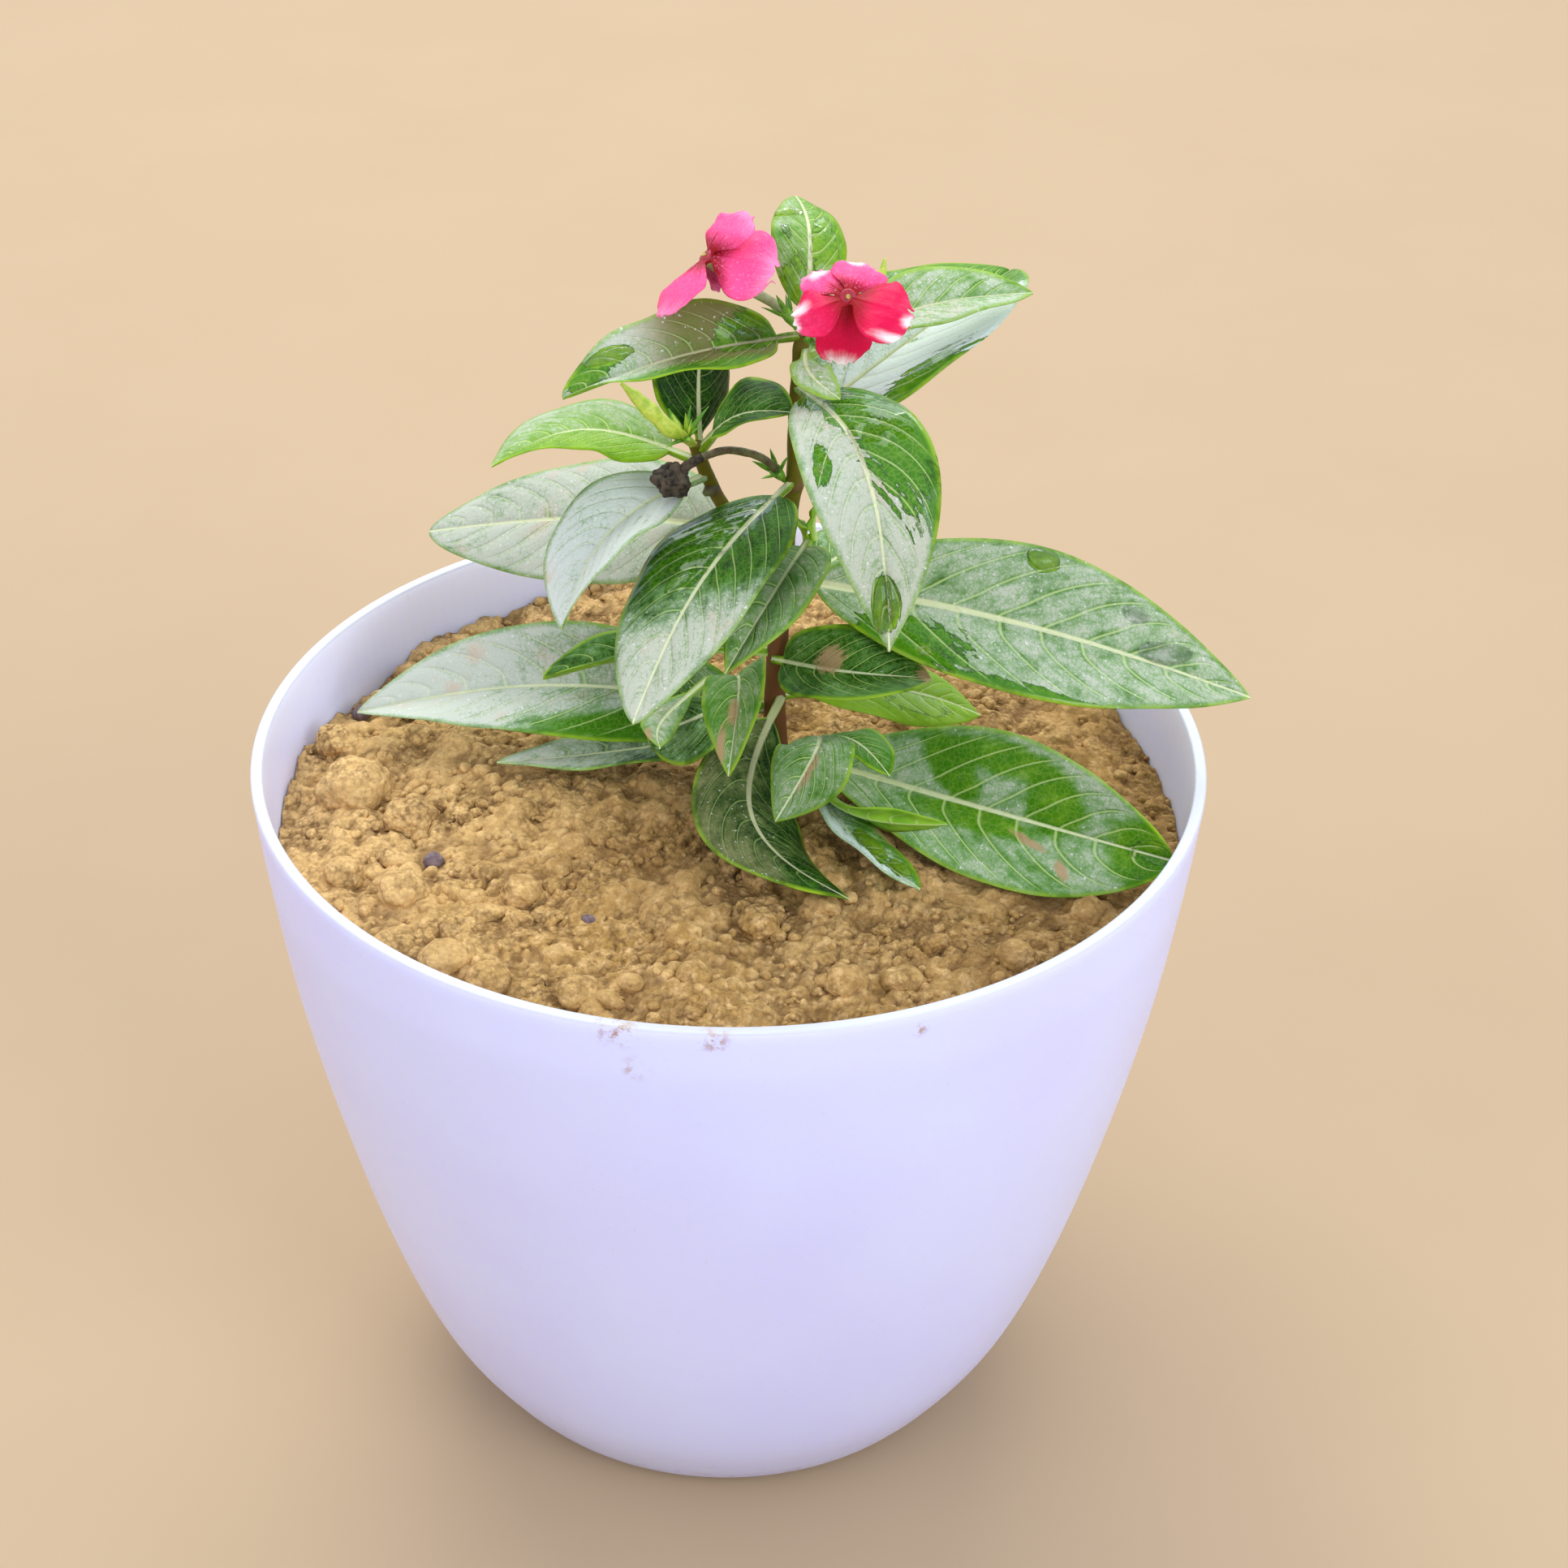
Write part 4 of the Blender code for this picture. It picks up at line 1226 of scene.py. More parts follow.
    def build_clods(self) -> None:
        """The larger clods and a few pebbles."""
        meshes = []
        lumps = [(*spec, Finish.LOAM) for spec in self.clods]
        lumps += [(*spec, Finish.PEBBLE) for spec in self.pebbles]
        for number, (x, y, radius, finish) in enumerate(lumps):
            ball, faces = ball_shape(5 if radius > 3.0 else 4)
            bump = 1.0 + 0.17 * rough_field(ball * 1.3 + np.array([number * 5.0, 0.0, 0.0]), 1.0, 0.0)
            skin = ball * radius
            bump += 0.10 * rough_field(skin, 2.4, number) + 0.06 * rough_field(skin, 0.9, number)
            flat = ball * np.array([1.0, 1.0, 0.8]) * bump[:, None] * radius
            spots = flat + np.array([x, y, self.level(x, y) + radius * 0.12])
            meshes.append(plain_mesh("clod", spots, faces, finish))
            carry(meshes[-1], {"crest": (bump - 0.95) * 2.0})
        settle(join_meshes("loam_clods", meshes), "loam", "soil")

    def build(self) -> None:
        """Bed, clods, lumps and crumbs."""
        self.build_bed()
        self.build_clods()
        for sort in self.scatters:
            self.scatter(sort)


STEMS: dict[str, tuple[Row, ...]] = {
    "main": (
        (10.0, 7.0, 137.0, 2.6), (10.0, 7.0, 152.0, 2.6), (9.4, 6.2, 165.0, 2.4), (9.8, 5.5, 180.0, 2.2),
        (10.6, 5.0, 197.0, 2.0), (11.3, 4.5, 208.0, 1.8), (12.3, 4.1, 217.5, 1.7), (12.5, 4.0, 219.5, 2.05),
        (12.5, 3.9, 221.5, 1.6), (12.4, 3.6, 230.0, 1.4), (12.8, 3.2, 243.0, 1.3), (13.4, 3.0, 250.0, 1.6),
        (13.6, 3.0, 253.5, 1.2),
    ),
    "side": (
        (10.4, 5.0, 196.0, 1.6), (4.0, 3.6, 206.5, 1.5), (-1.0, 2.3, 214.5, 1.4), (-3.8, 1.6, 220.0, 1.4),
        (-6.3, 0.6, 227.0, 1.4), (-7.3, 0.2, 230.5, 1.45),
    ),
    "foot_right": ((11.7, 3.5, 156.0, 1.1), (14.0, -2.5, 161.0, 1.1), (17.0, -7.5, 166.0, 0.9)),
    "foot_left": ((6.2, 4.9, 166.5, 1.1), (1.0, 1.0, 171.5, 1.1), (-4.5, -2.5, 177.5, 0.9)),
    "axil": ((13.5, 3.0, 204.5, 0.8), (15.3, 0.6, 207.3, 0.9), (16.3, -0.8, 210.0, 1.1)),
}


def stem_spot(stem: str, height: float) -> tuple[np.ndarray, float]:
    """The point and radius of a stem at a height.

    Args:
        stem: Which stem.
        height: The height.

    Returns:
        The point and the radius.
    """
    rows = np.array(STEMS[stem])
    spot = np.array([np.interp(height, rows[:, 2], rows[:, k]) for k in range(4)])
    return spot[:3], float(spot[3])


def stalk(
    points: Sequence[Sequence[float]], finish: Finish, sides: int = 20, lump: float = 0.0, size: float = 2.0,
    spacing: float = 0.7,
) -> bpy.types.Mesh:
    """A swept round stalk.

    Args:
        points: Rows of x, y, z and radius.
        finish: Its finish.
        sides: Corners of its round.
        lump: How far the skin wanders, in millimetres.
        size: Size of the lumps.
        spacing: Distance between rings.

    Returns:
        The closed mesh.
    """
    line = flowing_line(points, spacing)
    path = plain_mesh("stalk", line[:, :3], (), edges=[(k, k + 1) for k in range(len(line) - 1)])
    carry(path, {"radius": line[:, 3] * MM})
    tree = StalkTree(finish.paint())
    mesh = tree.grow(in_scene("stalk", path), Sides=sides, Lump=lump * MM, Lump_size=size * MM)
    face_outwards(mesh)
    return mesh


@dataclass(frozen=True)
class Stem:
    """The main stem with its side branch, a leaf scar and a swollen joint."""

    scar: tuple[Row, ...] = ((-5.6, -0.6, 219.6, 0.5), (-4.6, 0.2, 220.0, 1.3), (-3.2, 1.8, 220.2, 1.2))
    joint: tuple[Row, ...] = ((13.4, 2.3, 219.0, 0.4), (12.6, 3.9, 219.4, 2.15), (11.4, 5.2, 219.6, 1.0))

    def build(self) -> None:
        """One piece with a gently lumpy skin."""
        meshes = [
            stalk(STEMS["main"], Finish.BARK, 28, 0.5, 4.0),
            stalk(STEMS["side"], Finish.BARK, 24, 0.4, 3.0),
            stalk(self.scar, Finish.SPENT_STALK, 14, 0.4),
            stalk(self.joint, Finish.BARK, 18, 0.4),
        ]
        settle(join_meshes("stem_and_branch", meshes), "stem", "stem")


@dataclass(frozen=True)
class BladeForm:
    """One leaf or petal: where its stalk stands, where its tip is and how the sheet between bends.

    The stalk leaves its stem at a height. Arch and sway bend the rib up and sideways. Roll, twist, fold,
    curl and heading are angles. Belly is the share along at which the blade is widest, and the two rounds
    are powers that shape its ends.
    """

    name: str
    stem: str
    height: float
    tip: Point
    width: float
    arch: float = 5.0
    sway: float = 0.0
    roll: float = 0.0
    twist: float = 0.0
    fold: float = 14.0
    curl: float = 24.0
    belly: float = 0.48
    base_round: float = 0.62
    tip_round: float = 0.85
    stalk: float = 4.0
    wave: float = 0.5
    waves: float = 2.5
    heading: float | None = None


class BladeSheet:
    """The bent sheet of a leaf or petal, for shares along (0 to 1) and across (-1 to 1)."""

    def __init__(
        self, form: BladeForm, root: np.ndarray, root_width: float = 1.8, tip_width: float = 0.5
    ) -> None:
        """Lay the sheet from its root to its form's tip.

        Args:
            form: The blade's sizes.
            root: Where it begins.
            root_width: Width of its stalk.
            tip_width: Width at its tip.
        """
        self.form = form
        self.root = root
        self.chord = np.array(form.tip, float) - root
        self.length = float(np.linalg.norm(self.chord))
        self.ends = (root_width / 2.0, tip_width / 2.0)
        along = self.chord / self.length
        flat = np.array([along[0], along[1], 0.0]) if form.heading is None else heading_way(form.heading)
        side = np.cross(flat, (0.0, 0.0, 1.0))
        self.side = unit(side - along * side.dot(along))
        self.up = np.cross(self.side, along)

    def middle(self, share: np.ndarray) -> np.ndarray:
        """The rib's points.

        Args:
            share: Shares along the blade.

        Returns:
            One point for each.
        """
        hump = np.sin(np.pi * share)[..., None]
        bend = self.up * self.form.arch + self.side * self.form.sway
        return self.root + self.chord * share[..., None] + bend * hump

    def half_width(self, share: np.ndarray) -> np.ndarray:
        """Half the blade's width along it.

        Args:
            share: Shares along the blade.

        Returns:
            One half width for each.
        """
        form = self.form
        stalk_share = form.stalk / self.length
        reach = np.clip((share - stalk_share) / (1.0 - stalk_share), 0.0, 1.0)
        power = math.log(0.5) / math.log(form.belly)
        bulge = np.maximum(np.sin(np.pi * reach**power), 0.0)
        swell = bulge ** (form.base_round + (form.tip_round - form.base_round) * reach)
        return np.maximum(form.width / 2.0 * swell, np.where(share < 0.5, self.ends[0], self.ends[1]))

    def points(self, share: np.ndarray, across: np.ndarray) -> np.ndarray:
        """Points of the sheet in millimetres.

        Args:
            share: Shares along.
            across: Shares across.

        Returns:
            One point for each pair.
        """
        form = self.form
        tangent = unit(self.middle(share + 0.01) - self.middle(share - 0.01))
        side = unit(self.side - tangent * (tangent @ self.side)[..., None])
        up = np.cross(side, tangent)
        roll = np.radians(form.roll + form.twist * (share - 0.5))[..., None]
        side, up = side * np.cos(roll) + up * np.sin(roll), up * np.cos(roll) - side * np.sin(roll)
        out = np.abs(across)
        reach = out * self.half_width(share)
        lift = np.radians(form.fold - form.curl * out / 2.0)
        phase = np.where(across > 0.0, 2.1, 0.0)
        ripple = np.sin(2.0 * np.pi * form.waves * share + phase) * np.sin(np.pi * np.clip(share, 0.0, 1.0))
        raised = reach * np.sin(lift) + form.wave * out * out * ripple
        level = np.where(across > 0.0, 1.0, -1.0) * reach * np.cos(lift)
        return self.middle(share) + side * level[..., None] + up * raised[..., None]

    def normals(self, share: np.ndarray, across: np.ndarray) -> np.ndarray:
        """The sheet's upward directions.

        Args:
            share: Shares along the blade.
            across: Shares across it.

        Returns:
            One direction for each pair.
        """
        wide = np.clip(across, -0.97, 0.97)
        over = self.points(share, wide + 0.02) - self.points(share, wide - 0.02)
        ahead = self.points(share + 0.01, wide) - self.points(share - 0.01, wide)
        return unit(np.cross(over, ahead))


def turned(x: np.ndarray, y: np.ndarray, degrees: float) -> tuple[np.ndarray, np.ndarray]:
    """Flat places turned about their origin."""
    angle = math.radians(degrees)
    return x * math.cos(angle) - y * math.sin(angle), x * math.sin(angle) + y * math.cos(angle)


@dataclass(frozen=True)
class Patch:
    """An oval on a blade: its middle as shares along and across, its half length and width, and its turn."""

    along: float
    across: float
    length: float
    width: float
    turn: float = 0.0

    def grown(self, extra: float) -> "Patch":
        """The same oval, larger all round by a distance."""
        return Patch(self.along, self.across, self.length + extra, self.width + extra, self.turn)

    def field(self, sheet: BladeSheet, share: np.ndarray, across: np.ndarray) -> np.ndarray:
        """1 in the oval's middle, 0 on its line and less outside.

        Args:
            sheet: The blade.
            share: Shares along the blade.
            across: Shares across it.

        Returns:
            One number for each pair.
        """
        middle = self.across * float(sheet.half_width(np.array(self.along)))
        x, y = (share - self.along) * sheet.length, across * sheet.half_width(share) - middle
        x, y = turned(x, y, -self.turn)
        return 1.0 - np.sqrt((x / self.length) ** 2 + (y / self.width) ** 2)


def marked(patches: Sequence[Patch], sheet: BladeSheet, share: np.ndarray, across: np.ndarray) -> np.ndarray:
    """The highest of several ovals' fields, and far below 0 where there is none."""
    fields = [patch.field(sheet, share, across) for patch in patches]
    return np.maximum.reduce([np.full(share.shape, NOWHERE), *fields])


@dataclass(frozen=True)
class LeafLook:
    """How one leaf is weathered: dust, tone, grime, wet, scorched and bare places, drops and flat beads."""

    dust: float = 0.45
    dust_along: float = 0.0
    dust_across: float = 0.0
    tone: float = 0.5
    grime: float = 0.0
    grime_reach: float = 2.0
    # pale: share of a painted whitish sheen on the dust film, standing in for light through the leaf and the
    # sky's reflection on it
    pale: float = 0.0
    rib_scale: float = 1.0
    wet: tuple[Patch, ...] = ()
    scorched: tuple[Patch, ...] = ()
    bare: tuple[Patch, ...] = ()
    drops: tuple[Patch, ...] = ()
    beads: tuple[Patch, ...] = ()
    ribs: int = 9


LEAVES: tuple[BladeForm, ...] = (
    # the crown
    BladeForm("leaf_crown_upright", "main", 252.0, (12.4, 34.3, 269), 15.6,
        arch=8.4, sway=2.6, roll=-19, twist=9, fold=3, curl=18, belly=0.42, tip_round=0.78, heading=80),
    BladeForm("leaf_crown_left", "main", 253.0, (-32.6, -14.6, 247.6), 20,
        arch=2.1, sway=-0.1, roll=26, twist=-45, fold=38, curl=4, belly=0.42, base_round=0.5,
        tip_round=0.6, wave=1),
    BladeForm("leaf_crown_right", "main", 248.6, (59.7, 17.4, 255.9), 16.7,
        arch=3.3, roll=-17, twist=2, fold=28, curl=14, belly=0.5, tip_round=0.76),
    BladeForm("leaf_crown_small", "main", 250.2, (20.8, -12.3, 246.8), 8.4,
        arch=1, sway=2.9, roll=-6, twist=-10, fold=17, curl=14, belly=0.51, base_round=0.6, tip_round=0.71,
        stalk=2),
    BladeForm("leaf_back_right", "main", 233.0, (57.4, 43.1, 249.1), 36,
        arch=5.6, sway=5.5, roll=-2, twist=18, fold=28, curl=20, belly=0.42, base_round=0.5, tip_round=0.6),
    BladeForm("leaf_front_right", "main", 241.9, (30.2, -47.2, 211), 27,
        arch=17.2, sway=-0.7, roll=-5, twist=14, fold=20, curl=13, belly=0.47, tip_round=0.93),
    # the side branch
    BladeForm("leaf_branch_left", "side", 227.2, (-47.1, -10.7, 230.8), 23,
        arch=3.5, sway=7.1, twist=-45, fold=15, curl=23, belly=0.42, base_round=0.5, tip_round=0.79),
    BladeForm("leaf_branch_back", "side", 227.2, (-5.9, 18.6, 250.1), 21,
        arch=2.5, sway=-0.7, roll=-40, twist=6, fold=2, curl=34, belly=0.48),
    BladeForm("leaf_branch_right", "side", 230.6, (11.7, -9.6, 242.5), 18.1,
        arch=3.3, sway=0.7, roll=-18, twist=29, fold=20, curl=10, belly=0.49, base_round=0.5,
        tip_round=0.6),
    BladeForm("leaf_left_front", "side", 223.0, (-33.2, -26.4, 203.2), 23.9,
        arch=3.9, sway=4.2, roll=-7, twist=-45, fold=21, curl=7, belly=0.48, base_round=0.52,
        tip_round=0.76),
    BladeForm("leaf_left_back", "side", 209.4, (-65.5, 42.3, 187.1), 29.3,
        arch=0.7, sway=4.4, roll=41, twist=-8, fold=8, curl=25, belly=0.42, base_round=0.59, tip_round=0.6),
    # the middle of the stem
    BladeForm("leaf_front_left", "main", 220.2, (-18.8, -48, 195), 30,
        arch=5.3, sway=1.2, roll=-11, fold=12, curl=19, belly=0.43, base_round=0.53, tip_round=0.66),
    BladeForm("leaf_front_middle", "axil", 209.4, (-1, -39, 200.8), 19.1,
        arch=6.6, sway=-3.1, roll=2, twist=14, fold=24, curl=11, belly=0.44, base_round=0.6,
        tip_round=0.94),
    BladeForm("leaf_right_large", "main", 197.1, (108.5, -1, 173), 34.2,
        arch=5.4, sway=4.2, roll=-36, twist=22, fold=20, curl=18, belly=0.48, base_round=0.66),
    BladeForm("leaf_middle_dark", "main", 179.1, (41.3, -5.6, 179.9), 19.2,
        arch=2.4, sway=6.7, roll=-37, twist=36, fold=29, curl=5, belly=0.42, base_round=0.5,
        tip_round=0.61, stalk=2, heading=-90),
    BladeForm("leaf_middle_back", "main", 193.0, (40, 40, 184), 20, arch=5),
    BladeForm("leaf_low_left_back", "main", 179.5, (-39.4, 7.8, 170.9), 16,
        arch=1.6, sway=2.3, roll=-7, twist=5, fold=30, curl=5, belly=0.56, base_round=0.62, tip_round=0.6),
    # the foot of the plant
    BladeForm("leaf_low_right_large", "main", 154.0, (90.2, -35, 154.9), 35.1,
        arch=0, sway=0.1, roll=-44, twist=-45, fold=30, curl=5, belly=0.56, base_round=0.72, tip_round=0.6),
    BladeForm("leaf_low_left_large", "main", 164.5, (-81.7, 28.1, 149.6), 28.6,
        arch=5.6, sway=1.1, roll=44, twist=-45, fold=30, curl=5, belly=0.42, base_round=0.52,
        tip_round=0.76),
    BladeForm("leaf_low_front", "main", 168.7, (24, -47.4, 153.5), 24.7,
        arch=-3.6, sway=12.7, roll=19, twist=-5, fold=4, curl=30, belly=0.44, base_round=0.72,
        tip_round=0.95),
    BladeForm("leaf_low_right_back", "main", 168.0, (54.5, 22, 154), 19,
        arch=4, roll=-20, fold=12, belly=0.52),
    BladeForm("leaf_low_left_under", "main", 159.9, (-49.6, 4.7, 151.8), 14.4,
        arch=-2, sway=1.4, roll=3, twist=-9, fold=19, curl=19, tip_round=0.71),
)
SHOOT_LEAVES: dict[str, tuple[BladeForm, ...]] = {
    "foot_right": (
        BladeForm("round", "foot_right", 165.3, (9.3, -27.3, 158.6), 17.5,
            arch=12.3, sway=-6.5, roll=-9, twist=9, fold=8, curl=28, belly=0.54),
        BladeForm("wet", "foot_right", 158.6, (38.4, -41.8, 152.4), 12.5,
            arch=-2, sway=2.2, roll=22, twist=-19, fold=25, curl=19, belly=0.56, tip_round=0.66),
        BladeForm("narrow", "foot_right", 160.8, (44.4, -27.9, 158.9), 12.5,
            arch=-2, sway=8, roll=44, twist=40, fold=13, curl=24, belly=0.55),
        BladeForm("short", "foot_right", 165.8, (32.5, -23.3, 167.4), 12.3,
            arch=3.6, sway=-0.9, roll=7, twist=-4, fold=20, curl=20, belly=0.55, tip_round=0.79),
    ),
    "foot_left": (
        BladeForm("tip", "foot_left", 177.3, (-14.1, -26.6, 175.8), 7.5,
            arch=-3, sway=5, roll=5, twist=16, fold=15),
        BladeForm("low", "foot_left", 171.4, (-17.5, -5.5, 165.7), 18,
            arch=2.9, sway=-6, roll=24, twist=-30, fold=8, curl=30, belly=0.54, tip_round=0.71),
        BladeForm("front", "foot_left", 173.2, (-0.3, -30.5, 171.7), 15.5,
            arch=12.3, sway=-2.3, roll=-26, twist=-17, fold=25, curl=9, belly=0.53),
    ),
    "axil": (
        BladeForm("left", "axil", 209.0, (11.2, -1.2, 215.3), 5, arch=1, fold=20, curl=10, stalk=1),
        BladeForm("right", "axil", 209.5, (18.3, -1, 219.5), 3.4, arch=1, fold=20, curl=10, stalk=1),
    ),
}
LOOKS: dict[str, LeafLook] = {
    "leaf_crown_upright": LeafLook(
        0.26, dust_across=0.24, tone=0.78, wet=(Patch(0.45, 0.4, 8.0, 2.6), Patch(0.2, -0.6, 6.0, 3.0)),
        drops=(Patch(0.72, -0.60, 1.3, 2.9),), beads=(Patch(0.54, -0.62, 2.4, 0.9),), ribs=7,
    ),
    "leaf_crown_left": LeafLook(
        0.82, dust_across=-0.12, tone=0.6, grime=0.9, grime_reach=0.74, pale=0.1,
        wet=(Patch(0.18, 0.3, 8.0, 5.0, -20.0), Patch(0.87, 0.45, 6.0, 2.6)),
        bare=(Patch(0.4, -1.0, 24.0, 4.0),),
        drops=(Patch(0.76, 0.55, 4.6, 1.4),), beads=(Patch(0.2, 0.25, 3.0, 1.6),),
    ),
    "leaf_crown_right": LeafLook(0.62, dust_across=-0.1, tone=0.8, pale=0.15, ribs=8),
    "leaf_crown_small": LeafLook(0.60, tone=0.9, pale=0.2, ribs=6),
    "leaf_back_right": LeafLook(
        1.05, dust_across=-0.8, tone=0.6, pale=0.9, wet=(Patch(0.28, 1.0, 13.0, 5.0),),
        # painted shade: the bare patches at the tip clear the dust there to dim the highlight that the lamps
        # throw on it
        bare=(Patch(0.98, 0.0, 22.0, 16.0), Patch(0.98, -0.4, 18.0, 14.0)),
    ),
    "leaf_front_right": LeafLook(
        0.95, tone=0.5, bare=(Patch(0.66, -1.0, 16.0, 2.6),),
        wet=(
            Patch(0.38, -0.62, 17.0, 7.6), Patch(0.25, -0.1, 6.0, 4.0), Patch(0.12, 0.4, 6.0, 3.0),
            Patch(0.47, 0.66, 5.4, 2.0, 14.0),
        ),
        drops=(Patch(0.88, 0.12, 4.2, 3.0), Patch(0.49, 0.7, 1.2, 0.9)),
    ),
    "leaf_branch_left": LeafLook(0.34, dust_across=-0.42, tone=0.9, ribs=8),
    "leaf_branch_back": LeafLook(-0.3, tone=0.10, ribs=7),
    "leaf_branch_right": LeafLook(-0.05, dust_across=0.1, tone=0.25, ribs=7),
    "leaf_left_front": LeafLook(1.10, tone=0.6, pale=0.48, ribs=8),
    "leaf_left_back": LeafLook(0.98, tone=0.45, pale=0.05),
    "leaf_front_left": LeafLook(
        0.92, tone=0.3, bare=(Patch(0.3, 0.4, 26.0, 15.0, 24.0), Patch(0.3, -0.6, 14.0, 8.0)),
        wet=(Patch(0.44, 0.8, 17.0, 6.0, 24.0), Patch(0.22, 0.1, 9.0, 4.0), Patch(0.46, 0.26, 6.0, 3.0)),
        drops=(Patch(0.52, 0.28, 3.0, 1.3, 20.0),),
    ),
    "leaf_front_middle": LeafLook(0.46, tone=0.55, grime=0.22, ribs=7),
    "leaf_right_large": LeafLook(
        0.62, tone=0.48, rib_scale=1.3,
        wet=(Patch(0.25, 0.85, 13.0, 6.4), Patch(0.42, 1.0, 14.0, 2.6), Patch(0.60, 1.0, 12.0, 1.6)),
        drops=(Patch(0.49, -0.84, 3.2, 2.5), Patch(0.29, 0.8, 1.4, 1.1)),
        beads=(Patch(0.71, -0.62, 3.0, 1.9), Patch(0.79, -0.25, 5.6, 2.6, -14.0)),
    ),
    "leaf_middle_dark": LeafLook(
        0.10, tone=0.3, grime=0.2, ribs=7,
        scorched=(Patch(0.38, -0.2, 3.0, 4.4, 40.0), Patch(1.0, 0.0, 3.0, 4.0)),
    ),
    "leaf_middle_back": LeafLook(0.45, tone=0.5, ribs=7),
    "leaf_low_left_back": LeafLook(0.12, tone=0.3, ribs=7),
    "leaf_low_right_large": LeafLook(
        0.54, dust_across=0.12, tone=0.6, rib_scale=1.3,
        wet=(Patch(0.95, -0.1, 5.0, 3.0),),
        bare=(
            Patch(0.42, -0.45, 8.0, 4.0, 40.0), Patch(0.56, -0.68, 12.0, 3.4), Patch(0.70, -0.3, 6.0, 6.0),
            Patch(0.95, -0.1, 9.0, 7.0), Patch(0.5, 0.2, 12.0, 3.0),
        ),
        scorched=(Patch(0.66, 0.3, 5.0, 1.0, 14.0), Patch(0.76, 0.6, 3.4, 1.2, 60.0)),
    ),
    "leaf_low_left_large": LeafLook(
        0.85, dust_along=1.3, tone=0.5, pale=0.2, scorched=(Patch(0.49, 0.2, 3.0, 1.2),),
        bare=(Patch(0.3, -0.9, 20.0, 5.0),),
    ),
    "leaf_low_front": LeafLook(
        0.28, dust_across=-0.3, tone=0.08, grime=0.8, rib_scale=1.1, bare=(Patch(0.95, 0.0, 9.0, 6.0),),
    ),
    "leaf_low_right_back": LeafLook(0.1, tone=1.0, wet=(Patch(0.6, 0.4, 8.0, 3.0),), ribs=7),
    "leaf_low_left_under": LeafLook(0.5, dust_along=1.2, tone=0.2, ribs=6),
    "round": LeafLook(0.42, tone=0.5, grime=0.15, scorched=(Patch(0.68, -0.1, 3.0, 1.0),), ribs=6),
    # pale=1.0 paints a white reflection over this leaf's dust film
    "wet": LeafLook(
        0.6, dust_across=-0.6, tone=0.6, pale=1.0, wet=(Patch(0.75, 0.2, 8.0, 2.0),),
        scorched=(Patch(0.6, -1.0, 9.0, 1.2),), ribs=7,
        drops=(Patch(0.64, -0.2, 5.0, 1.6), Patch(0.85, -0.3, 3.0, 1.2)),
    ),
    "narrow": LeafLook(0.1, tone=0.95, ribs=7),
    "short": LeafLook(0.05, tone=0.5, ribs=6),
    "tip": LeafLook(0.6, tone=0.6, scorched=(Patch(0.8, 0.8, 4.0, 1.0),), ribs=6),
    "low": LeafLook(0.25, tone=0.25, ribs=6),
    "front": LeafLook(
        0.30, tone=0.6, grime=0.2, scorched=(Patch(0.72, 0.1, 2.4, 1.6), Patch(0.9, 0.7, 5.0, 1.0)), ribs=6,
    ),
    "left": LeafLook(0.1, tone=0.9, ribs=4),
    "right": LeafLook(0.1, tone=0.9, ribs=4),
}


@dataclass(frozen=True)
class LeafBuild:
    """Thickness, rib and relief of a leaf in millimetres, and how finely its mesh is divided.

    The cells along and across are a number for each millimetre, the fewest and the most.
    """

    thickness: float = 0.46
    stalk_thickness: float = 1.15
    groove: float = 0.16
    keel: float = 0.55
    quilt: float = 0.24
    long_cells: tuple[float, int, int] = (1.25, 26, 118)
    wide_cells: tuple[float, int, int] = (0.62, 6, 20)
    drop_rings: int = 9
    drop_spokes: int = 30
    drop_dip: float = 0.08


